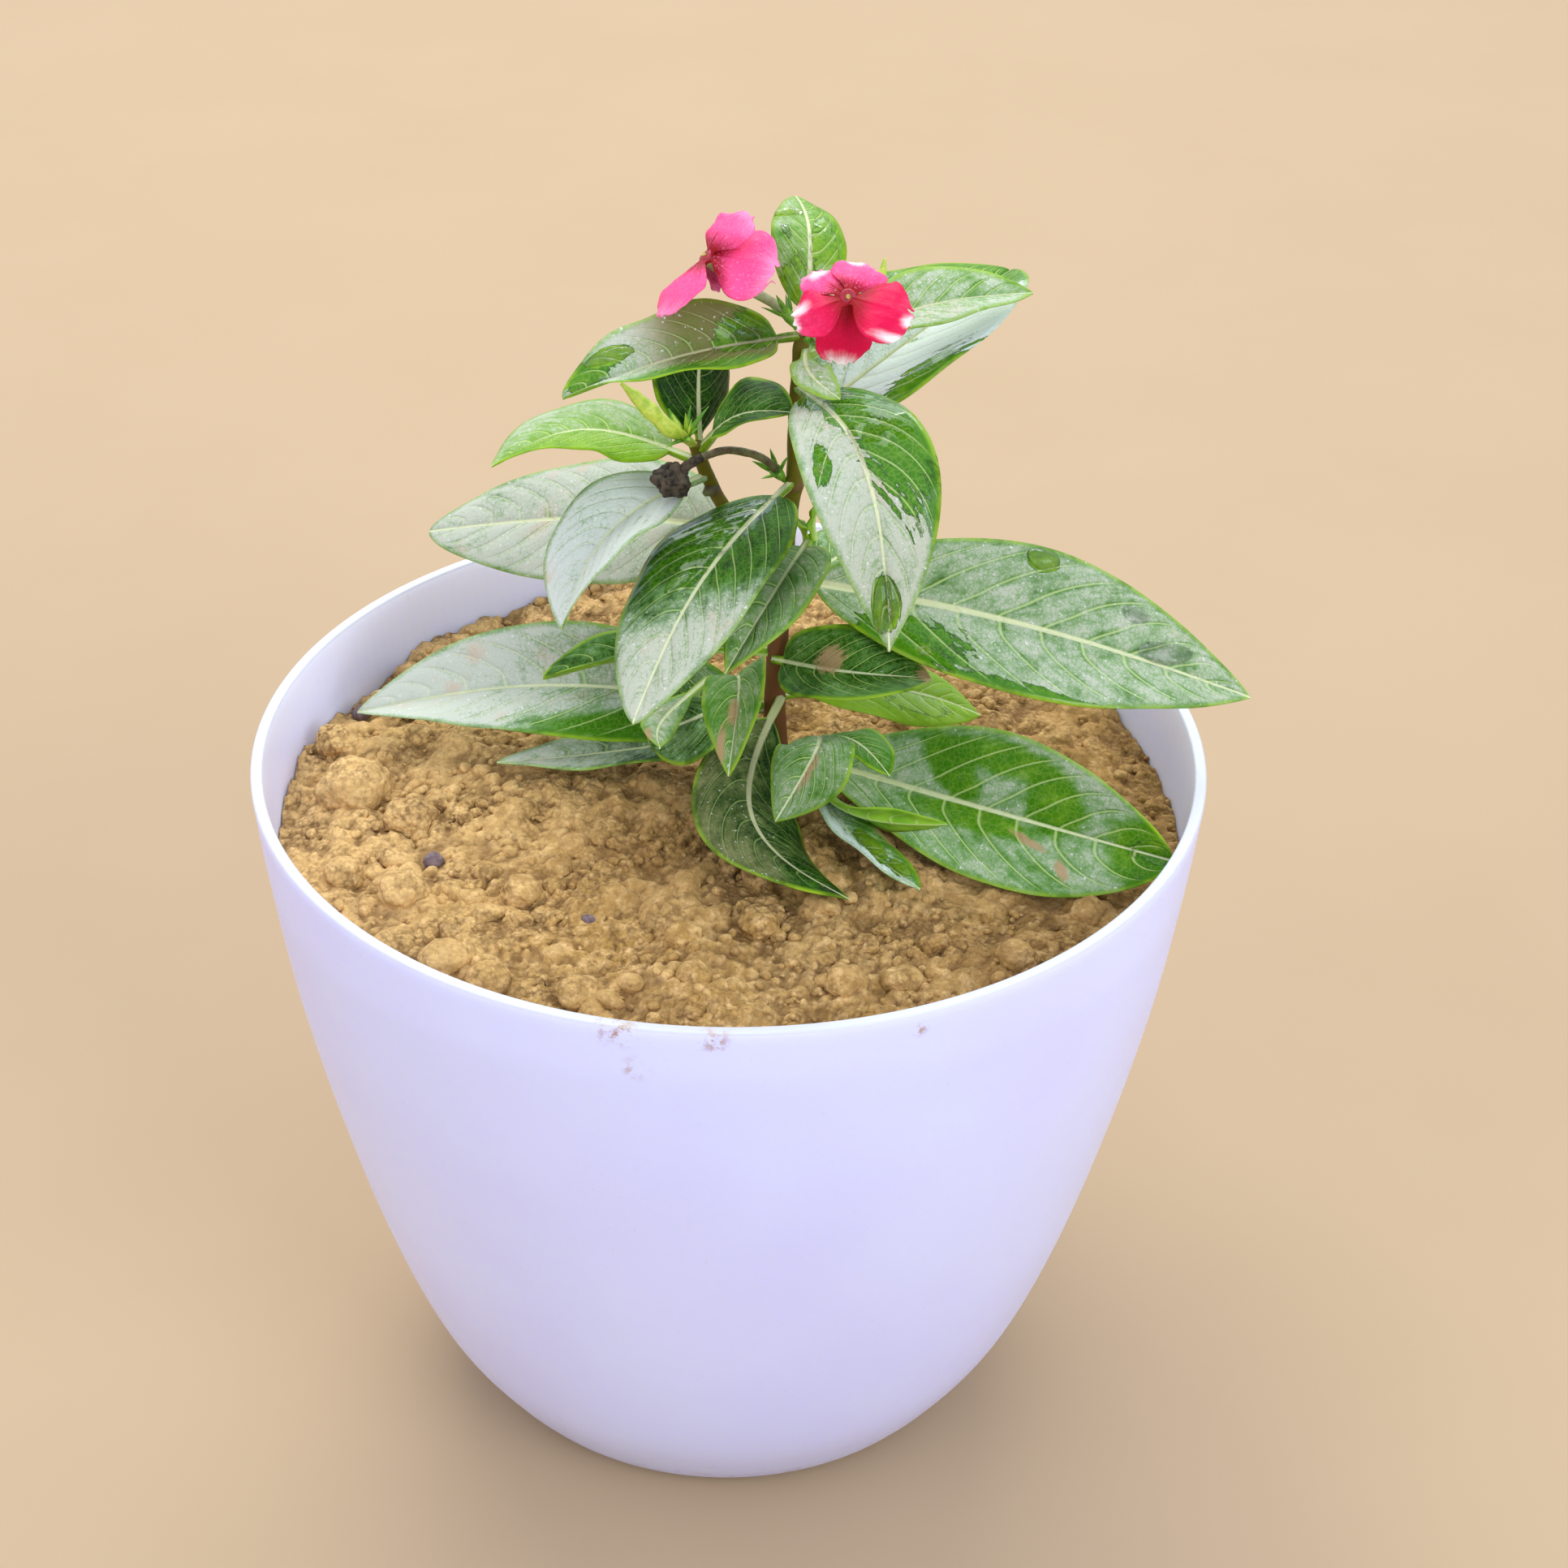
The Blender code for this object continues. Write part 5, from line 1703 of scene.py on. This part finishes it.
class Leaf:
    """One finished leaf: a closed sheet with a grooved rib, sunk veins, a thin margin and a round stalk."""

    def __init__(self, form: BladeForm, gap: float) -> None:
        """Place the leaf on its stem.

        Args:
            form: The leaf's sizes.
            gap: Distance from the stem's side to where the sheet's own measure begins.
        """
        spot, radius = stem_spot(form.stem, form.height)
        way = np.array(form.tip, float) - spot if form.heading is None else heading_way(form.heading)
        way[2] = 0.0
        self.form = form
        self.look = LOOKS[form.name]
        self.make = LeafBuild()
        self.sheet = BladeSheet(form, spot + unit(way) * (radius + gap))
        self.start = -(gap + 0.5) / self.sheet.length if gap > 0.0 else 0.0
        self.seed = sum(map(ord, form.name)) % 97

    def fields(self, share: np.ndarray, across: np.ndarray) -> dict[str, np.ndarray]:
        """What the finish reads: distances, vein count, film, water and scorch.

        Args:
            share: Shares along the blade.
            across: Shares across it.

        Returns:
            An array for each named number.
        """
        sheet, look = self.sheet, self.look
        half = sheet.half_width(share)
        out, hand = np.abs(across), np.sign(across)
        belly = float(half.max())
        lean = (0.55 * out * half + 0.85 * out * out * belly) / sheet.length
        jitter = 0.10 * np.sin(7.0 * share + hand * 1.7 + self.seed)
        under_drop = 2.5 * marked([patch.grown(0.3) for patch in look.drops], sheet, share, across)
        dust = look.dust + look.dust_along * (share - 0.5) - look.dust_across * across
        for patch in look.bare:
            dust = dust - 0.75 * smooth_step(patch.field(sheet, share, across), -0.5, 0.4)
        width = 0.62 * (1.0 - smooth_step(share, 0.0, 1.15)) + 0.22
        return {
            "rib": out * half,
            "hand": hand,
            "grime": look.grime * (1.0 - smooth_step(share, look.grime_reach - 0.3, look.grime_reach)),
            "pale": np.full(share.shape, look.pale),
            "edge": (1.0 - out) * half,
            "vein": (share - lean) * (look.ribs + 1.6) + jitter + 0.22 * hand * smooth_step(out, 0.0, 0.3),
            "wet": np.maximum(marked(look.wet, sheet, share, across), under_drop),
            "tan": marked(look.scorched, sheet, share, across),
            "dust": dust,
            # painted light: the tone under each drop is lifted, standing in for light that the drop gathers
            # onto the leaf
            "tone": look.tone + 0.3 * (under_drop > 0.0),
            "rib_width": width * (0.6 + belly / 30.0) * look.rib_scale,
        }

    def skin(self, share: np.ndarray, across: np.ndarray) -> tuple[np.ndarray, np.ndarray, np.ndarray]:
        """The two faces of the blade.

        Args:
            share: Shares along the blade.
            across: Shares across it.

        Returns:
            Upper points, lower points and upward directions.
        """
        make, sheet = self.make, self.sheet
        middle, normal = sheet.points(share, across), sheet.normals(share, across)
        traits = self.fields(share, across)
        out = np.abs(across)
        gap = np.abs(np.mod(traits["vein"], 1.0) - 0.5)
        fade = smooth_step(traits["edge"], 0.2, 3.0) * smooth_step(traits["rib"], 0.2, 1.6)
        fade = fade * smooth_step(share, 0.05, 0.16) * smooth_step(1.0 - share, 0.03, 0.2)
        relief = make.quilt * fade * (1.0 - np.exp(-((gap / 0.16) ** 2)))
        relief -= make.groove * np.exp(-((traits["rib"] / 0.5) ** 2)) * smooth_step(share, 0.02, 0.12)
        sag = rough_field(middle, 13.0, self.seed) * 0.5 * smooth_step(share, 0.05, 0.25) * (0.3 + 0.7 * out)
        stalky = np.exp(-((share * sheet.length / (self.form.stalk * 0.95)) ** 2))
        thick = make.thickness * (1.0 - 0.6 * out**4) + (make.stalk_thickness - make.thickness) * stalky
        thick = thick * np.where(share > 0.97, 0.7, 1.0)
        keel = make.keel * np.exp(-((traits["rib"] / 0.6) ** 2)) * np.clip(1.0 - share, 0.0, 1.0) ** 0.7
        middle = middle + normal * (sag + relief)[..., None]
        upper = middle + normal * (thick / 2.0)[..., None]
        return upper, middle - normal * (thick / 2.0 + keel)[..., None], normal

    def mesh(self) -> bpy.types.Mesh:
        """The closed sheet with its fields and its two finishes.

        Returns:
            The mesh.
        """
        (tall, fewest, most), (wide, few, many) = self.make.long_cells, self.make.wide_cells
        rows = int(min(max(self.sheet.length * tall, fewest), most))
        side = int(min(max(self.form.width * wide, few), many))
        even = np.linspace(0.0, 1.0, rows + 1)
        along = 0.55 * even + 0.45 * (0.5 - 0.5 * np.cos(np.pi * even))
        along = self.start + along * (1.0 - self.start)
        step = np.linspace(0.0, 1.0, side + 1)
        half = 0.6 * step**1.7 + 0.4 * step
        across = np.concatenate([-half[::-1], half[1:]])
        share, across = np.meshgrid(along, across, indexing="ij")
        upper, lower, _ = self.skin(share, across)
        return sheet_body(self.form.name, upper, lower, self.fields(share, across), Finish.FACE, Finish.UNDER)

    def drop(self, patch: Patch, steepness: float = 0.42) -> bpy.types.Mesh:
        """A drop of water that lies on the upper face, as one closed lens.

        Args:
            patch: The drop's outline.
            steepness: Its height as a share of its half width.

        Returns:
            The mesh.
        """
        rings, spokes = self.make.drop_rings, self.make.drop_spokes
        reach = np.sin(np.linspace(0.0, math.pi / 2, rings + 1))[1:]
        turn = np.linspace(0.0, 2.0 * math.pi, spokes, endpoint=False)
        wobble = 1.0 + 0.10 * np.sin(2.0 * turn + self.seed) + 0.06 * np.sin(3.0 * turn + 2.0 * self.seed)
        r, a = np.meshgrid(reach, turn, indexing="ij")
        x, y = r * np.cos(a) * wobble * patch.length, r * np.sin(a) * wobble * patch.width
        x, y = turned(x, y, patch.turn)
        share = np.append(patch.along + (x / self.sheet.length).ravel(), patch.along)
        middle = patch.across * float(self.sheet.half_width(np.array(patch.along)))
        across = np.append(middle + y.ravel(), middle) / self.sheet.half_width(share)
        upper, _, normal = self.skin(share, np.clip(across, -0.98, 0.98))
        tall = steepness * (min(patch.length, patch.width) + 0.6)
        height = np.append(tall * (1.0 - r.ravel() ** 2) ** 0.55, tall)
        count = rings * spokes
        ring = np.arange(count).reshape(rings, spokes)
        ring = np.hstack([ring, ring[:, :1]])
        top = grid_faces(ring).tolist()
        top += [(count, first, after) for first, after in zip(ring[0].tolist(), ring[0, 1:].tolist())]
        low = [[count + 1 + corner for corner in reversed(face)] for face in top]
        rim = zip(ring[-1].tolist(), ring[-1, 1:].tolist())
        faces = top + low + [(first, count + 1 + first, count + 1 + after, after) for first, after in rim]
        points = np.vstack([upper + normal * height[:, None], upper - normal * self.make.drop_dip])
        return plain_mesh("drop", points, faces, Finish.WATER)


def sheet_body(
    name: str, upper: np.ndarray, lower: np.ndarray, fields: dict[str, np.ndarray], face: Finish,
    under: Finish,
) -> bpy.types.Mesh:
    """A closed body between two grids of points.

    Args:
        name: The mesh's name.
        upper: Points of the upper face, rows by columns by three.
        lower: Points of the lower face.
        fields: Numbers for the finishes, rows by columns.
        face: Finish of the upper face and the rim.
        under: Finish of the lower face.

    Returns:
        The mesh.
    """
    index = np.arange(upper.size // 3).reshape(upper.shape[:2])
    quads, ring, low = grid_faces(index), grid_rim(index), index.size
    after = np.roll(ring, -1)
    rim = np.stack([ring, ring + low, after + low, after], -1)
    faces = np.vstack([quads, quads[:, ::-1] + low, rim])
    points = np.vstack([upper.reshape(-1, 3), lower.reshape(-1, 3)])
    mesh = plain_mesh(name, points, faces.tolist(), face, under)
    slots = np.zeros(len(faces), np.int32)
    slots[len(quads) : 2 * len(quads)] = 1
    mesh.polygons.foreach_set("material_index", slots)
    carry(mesh, {key: np.tile(value.ravel(), 2) for key, value in fields.items()})
    return mesh


@dataclass(frozen=True)
class Foliage:
    """Every leaf, leafy shoot and drop of water."""

    single_gap: float = 0.55
    shoot_gap: float = -0.7
    bead_steepness: float = 0.12

    def build_single(self) -> list[Leaf]:
        """The leaves that stand on a stem by themselves.

        Returns:
            The leaves.
        """
        leaves = [Leaf(form, self.single_gap) for form in LEAVES]
        for leaf in leaves:
            name = leaf.form.name.replace("leaf_", "blade_")
            settle(join_meshes(name, [leaf.mesh()]), "leaf", leaf.form.name)
        return leaves

    def build_shoot(self, stem: str) -> list[Leaf]:
        """One short shoot: its stub and its small leaves.

        Args:
            stem: Which stub carries it.

        Returns:
            Its leaves.
        """
        leaves = [Leaf(form, self.shoot_gap) for form in SHOOT_LEAVES[stem]]
        meshes = [stalk(STEMS[stem], Finish.SEPAL, 14, 0.2), *(leaf.mesh() for leaf in leaves)]
        settle(join_meshes(f"sprig_{stem}", meshes), "leaf", f"shoot_{stem}")
        return leaves

    def build_water(self, leaves: Sequence[Leaf]) -> None:
        """The drops on all the leaves, one piece.

        Args:
            leaves: The leaves.
        """
        meshes = [leaf.drop(patch) for leaf in leaves for patch in leaf.look.drops]
        meshes += [leaf.drop(patch, self.bead_steepness) for leaf in leaves for patch in leaf.look.beads]
        settle(join_meshes("water_drops", meshes), "")

    def build(self) -> None:
        """Leaves, shoots and water."""
        leaves = self.build_single()
        for stem in SHOOT_LEAVES:
            leaves += self.build_shoot(stem)
        self.build_water(leaves)


def facing_frame(
    place: Sequence[float], facing: Sequence[float], lead: Sequence[float], turn: float = 0.0
) -> Matrix:
    """A frame in millimetres: Z looks the facing way and X leads, turned about Z by degrees.

    Args:
        place: Its origin.
        facing: The way of its Z.
        lead: The way that its X keeps near.
        turn: The turn.

    Returns:
        The frame.
    """
    axis = Vector(facing).normalized()
    across = Vector(lead)
    across = (across - axis * across.dot(axis)).normalized()
    basis = Matrix((across, axis.cross(across), axis)).transposed().to_4x4()
    return Matrix.Translation(Vector(place)) @ basis @ Matrix.Rotation(math.radians(turn), 4, "Z")


def moved(mesh: bpy.types.Mesh, matrix: Matrix) -> bpy.types.Mesh:
    """The mesh, built in metres, put in a frame that is in millimetres.

    Args:
        mesh: The mesh.
        matrix: The frame.

    Returns:
        The same mesh.
    """
    placed = matrix.copy()
    placed.translation = matrix.translation * MM
    mesh.transform(placed)
    return mesh


@dataclass(frozen=True)
class SepalRing:
    """A ring of narrow, bent sepals: their number, ring's radius, length, lean, finish, seed and width."""

    count: int
    ring: float
    length: float
    flare: float
    finish: Finish
    seed: int
    width: float = 1.0
    rows: int = 12
    sides: int = 8

    def mesh(self, place: Sequence[float], facing: Sequence[float]) -> bpy.types.Mesh:
        """The ring at a place, facing a way.

        Args:
            place: The ring's middle.
            facing: The way that it faces.

        Returns:
            The mesh.
        """
        points, rows, sides = [], self.rows, self.sides
        for share in np.linspace(0.0, 1.0, rows):
            half = self.width / 2.0 * (1.0 - share) ** 0.7 * (0.8 + 0.6 * math.sin(math.pi * share)) + 0.05
            bend = 0.10 * self.length * share * share
            for angle in np.linspace(0.0, 2.0 * math.pi, sides, endpoint=False):
                x = bend + 0.45 * half * math.cos(angle)
                points.append((x, half * math.sin(angle), self.length * share - 0.5))
        index = np.arange(rows * sides).reshape(rows, sides)
        around = grid_faces(np.hstack([index, index[:, :1]]))[:, ::-1]
        faces = [index[0, ::-1].tolist(), index[-1].tolist(), *around.tolist()]
        source = in_scene("sepal", plain_mesh("sepal", points, faces))
        mesh = RingTree(self.finish.paint()).grow(
            source, Count=self.count, Ring=self.ring * MM, Flare=math.radians(self.flare), Seed=self.seed
        )
        face_outwards(mesh)
        return moved(mesh, facing_frame(place, facing, (0.3, -1.0, 0.1)))


@dataclass(frozen=True)
class PetalLook:
    """One petal's tone, from crimson at 0 to pink at 1, and its cream places."""

    tone: float
    cream: tuple[Patch, ...] = ()


@dataclass(frozen=True)
class Flower:
    """One open flower: its calyx, its tube, where it faces and its petals.

    A petal is its turn, reflex and roll in degrees, its length and its width. The ring in the throat and
    the dot in it are rows of a distance along the facing way and a radius.
    """

    name: str
    foot: Point
    mouth: Point
    tube: tuple[Point, ...]
    throat: Point
    facing: Point
    lead: Point
    petals: tuple[tuple[float, float, float, float, float], ...]
    looks: tuple[PetalLook, ...]
    rows: int = 44
    columns: int = 37
    thickness: float = 0.34
    throat_ring: tuple[tuple[float, float], ...] = ((-0.8, 1.55), (0.25, 1.6), (0.5, 1.15), (0.55, 0.6))
    eye_dot: tuple[tuple[float, float], ...] = ((0.3, 0.5), (0.85, 0.42))

    def petal(self, index: int) -> bpy.types.Mesh:
        """One petal with its rays, its crinkled margin and its two finishes.

        Args:
            index: Which petal.

        Returns:
            The mesh.
        """
        turn, reflex, roll, length, width = self.petals[index]
        lean = math.radians(reflex)
        tip = (0.6 + length * math.cos(lean), 0.0, -length * math.sin(lean))
        form = BladeForm(
            "petal", "", 0.0, tip, width, arch=1.4, roll=roll, fold=-4.0, curl=12.0, belly=0.58,
            base_round=0.65, tip_round=0.38, stalk=0.5, wave=0.5, waves=1.5, heading=0.0,
        )
        sheet = BladeSheet(form, np.array([0.5, 0.0, 0.0]), 3.0, 5.0)
        grid = (np.linspace(0.0, 1.0, self.rows), np.linspace(-1.0, 1.0, self.columns))
        share, across = np.meshgrid(*grid, indexing="ij")
        seed = 3.0 * index + len(self.name)
        zero, out = np.zeros_like(share), np.abs(across)
        notch = rough_field(np.stack([across * 2.4, zero, zero], -1), 1.0, seed)
        bulge = rough_field(np.stack([share * 2.6, np.sign(across) * 4.0, zero], -1), 1.0, seed)
        torn = (share * (1.0 + 0.12 * notch * share**3), across * (1.0 + 0.10 * bulge * share))
        middle, normal = sheet.points(*torn), sheet.normals(*torn)
        ruffled = share * (0.45 + 0.55 * out)
        crinkle = rough_field(middle, 4.0, seed) * ruffled + rough_field(middle, 1.5, seed) * 0.34 * ruffled
        crinkle += 0.16 * np.exp(-((across / 0.08) ** 2)) * (1.0 - share)
        middle = middle + normal * crinkle[..., None]
        thick = self.thickness * (1.0 - 0.5 * out**4) * (1.0 - 0.35 * share)
        half = normal * (thick / 2.0)[..., None]
        fields = {
            "reach": share,
            "across": across,
            "cream": marked(self.looks[index].cream, sheet, share, across),
            "tone": np.full(share.shape, self.looks[index].tone),
            "number": np.full(share.shape, 0.01 * seed),
        }
        mesh = sheet_body("petal", middle + half, middle - half, fields, Finish.PETAL, Finish.PETAL_BACK)
        return moved(mesh, facing_frame(self.throat, self.facing, self.lead, turn))

    def build_corolla(self) -> None:
        """Tube, petals and eye in one piece."""
        throat = Vector(self.throat)
        facing = Vector(self.facing).normalized()
        path = [(*tube_start(self.mouth, self.tube), 0.85), *((*spot, 1.0) for spot in self.tube)]
        path += [(*(throat - facing * 2.5), 1.2), (*(throat - facing * 0.6), 1.5)]
        ring, eye = (
            [(*(throat + facing * out), wide) for out, wide in spots]
            for spots in (self.throat_ring, self.eye_dot)
        )
        meshes = [
            stalk(path, Finish.TUBE, 20, 0.15),
            stalk(ring, Finish.THROAT, 20, 0.1, 1.0, 0.15),
            stalk(eye, Finish.EYE, 14, 0.1, 1.0, 0.2),
            *(self.petal(index) for index in range(len(self.petals))),
        ]
        settle(join_meshes(f"bloom_{self.name}", meshes), "petal", f"corolla_{self.name}")

    def build(self) -> None:
        """The calyx and the corolla."""
        build_calyx(self.name, self.foot, self.mouth, len(self.name))
        self.build_corolla()


def tube_start(mouth: Point, tube: Sequence[Point]) -> Vector:
    """Where a flower's tube begins, just beyond its calyx."""
    start = Vector(mouth)
    return start + (Vector(tube[0]) - start).normalized() * 0.3


def build_calyx(name: str, foot: Point, mouth: Point, seed: int) -> None:
    """A short stalk that widens to a cup, with five narrow sepals.

    Args:
        name: The flower's name.
        foot: Where the stalk begins.
        mouth: Where the cup ends.
        seed: Of the sepals' small differences.
    """
    start, end = Vector(foot), Vector(mouth)
    way = (end - start).normalized()
    rows = ((*(start - way * 0.8), 0.6), (*start, 0.62), (*start.lerp(end, 0.45), 1.1), (*end, 1.35))
    sepals = SepalRing(5, 1.45, 4.3, 26.0, Finish.SEPAL, seed)
    meshes = [stalk(rows, Finish.SEPAL, 18, 0.15), sepals.mesh(end, end - start)]
    settle(join_meshes(f"cup_{name}", meshes), "calyx", f"calyx_{name}")


FLOWERS: tuple[Flower, ...] = (
    Flower(
        "front", (14.5, 1.45, 252.8), (16.2, -2.4, 255.0), ((17.3, -5.5, 257.5), (19.2, -10.5, 263.0)),
        (21.6, -16.8, 270.3), (0.05, -0.82, 0.57), (0.97, -0.12, -0.19),
        (
            (-3.0, -10.0, 30.0, 12.0, 16.5), (79.0, 43.0, 11.0, 10.8, 11.0), (148.0, 50.0, -15.0, 12.8, 9.0),
            (216.0, 12.0, -25.0, 10.6, 10.4), (281.0, 34.0, 12.0, 13.2, 11.4),
        ),
        (
            PetalLook(0.08, (Patch(0.84, 1.0, 4.6, 1.6), Patch(0.99, 0.8, 2.2, 1.8))),
            PetalLook(0.6, (Patch(1.0, -0.6, 2.4, 2.2),)),
            PetalLook(0.7, (Patch(0.8, 0.1, 3.0, 2.6),)),
            PetalLook(0.25, (Patch(0.94, 0.6, 4.0, 1.8), Patch(1.04, -0.3, 2.0, 2.2))),
            PetalLook(0.08, (Patch(1.06, 0.3, 4.2, 4.0),)),
        ),
    ),
    Flower(
        "side", (12.2, 4.0, 254.6), (10.2, 5.6, 257.0), ((6.5, 6.7, 259.0), (1.4, 4.8, 262.8)),
        (-5.2, 0.6, 270.5), (-0.66, -0.11, 0.75), (0.75, -0.35, -0.55),
        (
            (39.0, 44.0, -5.0, 13.3, 18.0), (90.0, 1.0, -4.0, 11.0, 16.8), (150.0, 72.0, 10.0, 7.4, 7.6),
            (220.0, 76.0, 10.0, 7.4, 7.4), (287.0, -3.0, -6.0, 14.6, 16.8),
        ),
        (PetalLook(0.8), PetalLook(0.8), PetalLook(0.7), PetalLook(0.7), PetalLook(0.75)),
    ),
)


@dataclass(frozen=True)
class SpentFlower:
    """The withered tube and the crumpled ball at its end."""

    foot: Point = (10.3, 3.3, 221.3)
    mouth: Point = (8.7, 0.6, 224.6)
    tube: tuple[Point, ...] = (
        (7.2, -1.2, 227.4), (4.0, -2.6, 229.8), (-1.0, -3.8, 231.2), (-6.0, -5.6, 230.6), (-9.4, -7.2, 229.0),
    )
    green_spots: int = 4
    ball: Point = (-11.8, -8.2, 226.6)
    radius: float = 3.0

    def build_ball(self) -> bpy.types.Mesh:
        """The crumpled ball with its sharp folds.

        Returns:
            The mesh.
        """
        directions, faces = ball_shape(5)
        swell = 1.0 + 0.42 * rough_field(directions * 1.9 + np.array([4.0, 1.0, 2.0]), 1.0, 0.0)
        folds = np.abs(rough_field(directions * self.radius, 2.2, 3.0))
        crease = 0.75 * np.exp(-((folds / 0.10) ** 2)) * 0.35
        swell += 0.16 - crease + 0.10 * rough_field(directions, 0.22, 8.0)
        points = directions * swell[:, None] * self.radius + np.array(self.ball)
        return plain_mesh("ball", points, faces, Finish.DRIED)

    def build(self) -> None:
        """The calyx, the tube and the ball."""
        build_calyx("spent", self.foot, self.mouth, 5)
        start, turn = tube_start(self.mouth, self.tube), self.green_spots
        green = [(*start, 0.8), *((*spot, 0.8) for spot in self.tube[:turn])]
        brown = [*((*spot, 0.95) for spot in self.tube[turn - 1 :]), (*self.ball, 1.3)]
        meshes = [
            stalk(green, Finish.SPENT_STALK, 16, 0.35, 1.5, 0.5),
            stalk(brown, Finish.DRIED, 18, 0.8, 1.2, 0.4),
            self.build_ball(),
        ]
        settle(join_meshes("withered_bloom", meshes), "dried", "spent_flower")


@dataclass(frozen=True)
class Buds:
    """The bud on the side branch with its sepals, and the small bud behind the front flower."""

    bud: tuple[Row, ...] = (
        (-7.6, 0.2, 230.2, 0.9), (-8.2, -0.1, 231.0, 0.9), (-9.4, -1.7, 232.8, 1.0),
        (-12.6, -3.2, 235.6, 1.7), (-14.6, -3.8, 238.2, 1.5), (-16.0, -4.1, 239.8, 1.75),
        (-18.6, -4.7, 242.8, 1.25), (-21.7, -5.2, 246.4, 0.35),
    )
    crown: tuple[Row, ...] = (
        (14.7, 3.0, 254.5, 0.5), (20.0, 6.6, 259.2, 0.6), (26.0, 8.2, 261.6, 0.8), (28.7, 8.4, 263.0, 1.1),
        (29.6, 9.4, 266.6, 0.3),
    )

    def build(self) -> None:
        """Both buds."""
        foot = self.bud[2][:3]
        meshes = [
            stalk(self.bud, Finish.BUD, 20, 0.5, 2.4, 0.5),
            SepalRing(8, 0.5, 7.4, 42.0, Finish.SEPAL, 3, 1.5).mesh(foot, (-0.3, -0.2, 0.9)),
            SepalRing(6, 0.9, 6.0, 18.0, Finish.BUD, 6, 1.3).mesh(foot, (-0.3, -0.3, 0.9)),
        ]
        settle(join_meshes("side_bud", meshes), "calyx", "bud")
        crown = stalk(self.crown, Finish.BUD, 16, 0.25, 2.0, 0.5)
        settle(join_meshes("crown_bud", [crown]), "calyx", "bud_crown")


@dataclass(frozen=True)
class Lamp:
    """A soft box that looks at the plant: its place and sides in metres, its power in watts and its tint."""

    name: str
    place: Point
    sides: tuple[float, float]
    power: float
    tint: Colour
    aim: Point = (0.0, 0.0, 0.15)

    def build(self) -> None:
        """Hang the lamp."""
        data = bpy.data.lights.new(self.name, "AREA")
        data.shape = "RECTANGLE"
        data.size, data.size_y = self.sides
        data.energy = self.power
        data.color = self.tint
        item = in_scene(self.name, data)
        item.location = self.place
        item.rotation_mode = "QUATERNION"
        item.rotation_quaternion = (Vector(self.aim) - Vector(self.place)).to_track_quat("-Z", "Y")


@dataclass(frozen=True)
class Studio:
    """Pale floor, soft lights and the camera at the photograph's angle."""

    camera_place: Point = (0.0, -577.24, 526.75)
    aim: Point = (11.55, 0.0, 150.05)
    roll: float = 1.031
    lens: float = 74.534
    sensor: float = 36.0
    floor_reach: float = 20.0
    floor_colour: Colour = (0.46, 0.335, 0.195)
    floor_shade: Colour = (0.385, 0.27, 0.145)
    sky: Colour = (0.86, 0.93, 1.20)
    sky_strength: float = 1.02
    lamps: tuple[Lamp, ...] = (
        Lamp("key", (-0.5, 0.7, 1.7), (0.8, 0.8), 11.0, (1.0, 0.98, 0.95)),
        Lamp("back", (0.0, 1.7, 1.5), (1.8, 0.8), 16.0, (0.93, 0.97, 1.0)),
        Lamp("front", (1.1, -1.3, 1.0), (1.0, 1.0), 18.0, (0.84, 0.90, 1.0)),
        Lamp("left", (-1.4, -0.9, 1.0), (1.0, 1.0), 7.0, (0.90, 0.90, 1.0)),
        Lamp("strip", (0.3, 1.3, 1.75), (1.2, 0.12), 7.0, (1.0, 1.0, 1.0)),
    )

    def build_floor(self) -> None:
        """A wide pale floor."""
        far = self.floor_reach
        square = [(x * far, y * far, 0.0) for x, y in ((-1, -1), (1, -1), (1, 1), (-1, 1))]
        mesh = bpy.data.meshes.new("floor")
        mesh.from_pydata(square, (), [(0, 1, 2, 3)])
        t = ShaderTree("floor_paint")
        colour = t.mix(t.step(t.noise(90.0, 3.0), 0.3, 0.7) * 0.12, self.floor_colour, self.floor_shade)
        mesh.materials.append(t.finish(Base_Color=colour, Roughness=0.9, Specular_IOR_Level=0.1))
        item = in_scene("floor", mesh)

    def build_camera(self) -> None:
        """The photograph's camera."""
        data = bpy.data.cameras.new("camera")
        data.lens = self.lens
        data.sensor_width = self.sensor
        data.clip_start = 0.01
        item = in_scene("camera", data)
        place, aim = Vector(self.camera_place) * MM, Vector(self.aim) * MM
        level = (aim - place).to_track_quat("-Z", "Y")
        item.rotation_mode = "QUATERNION"
        item.rotation_quaternion = level @ Matrix.Rotation(math.radians(self.roll), 3, "Z").to_quaternion()
        item.location = place
        bpy.context.scene.camera = item

    def build_sky(self) -> None:
        """An even cool sky."""
        world = bpy.data.worlds.new("sky")
        world.use_nodes = True
        backdrop = world.node_tree.nodes["Background"]
        backdrop.inputs["Color"].default_value = (*self.sky, 1.0)
        backdrop.inputs["Strength"].default_value = self.sky_strength
        bpy.context.scene.world = world
        bpy.context.scene.view_settings.view_transform = "Standard"

    def build(self) -> None:
        """Floor, camera, sky and lights."""
        self.build_floor()
        self.build_camera()
        self.build_sky()
        for lamp in self.lamps:
            lamp.build()


def main() -> None:
    """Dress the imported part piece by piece."""
    logging.basicConfig(level=logging.INFO, format="%(message)s")
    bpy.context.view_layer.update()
    pot = Pot()
    for assembly in (Studio(), pot, LoamBed(pot), Stem(), Foliage(), *FLOWERS, SpentFlower(), Buds()):
        assembly.build()


if __name__ == "__main__":
    main()
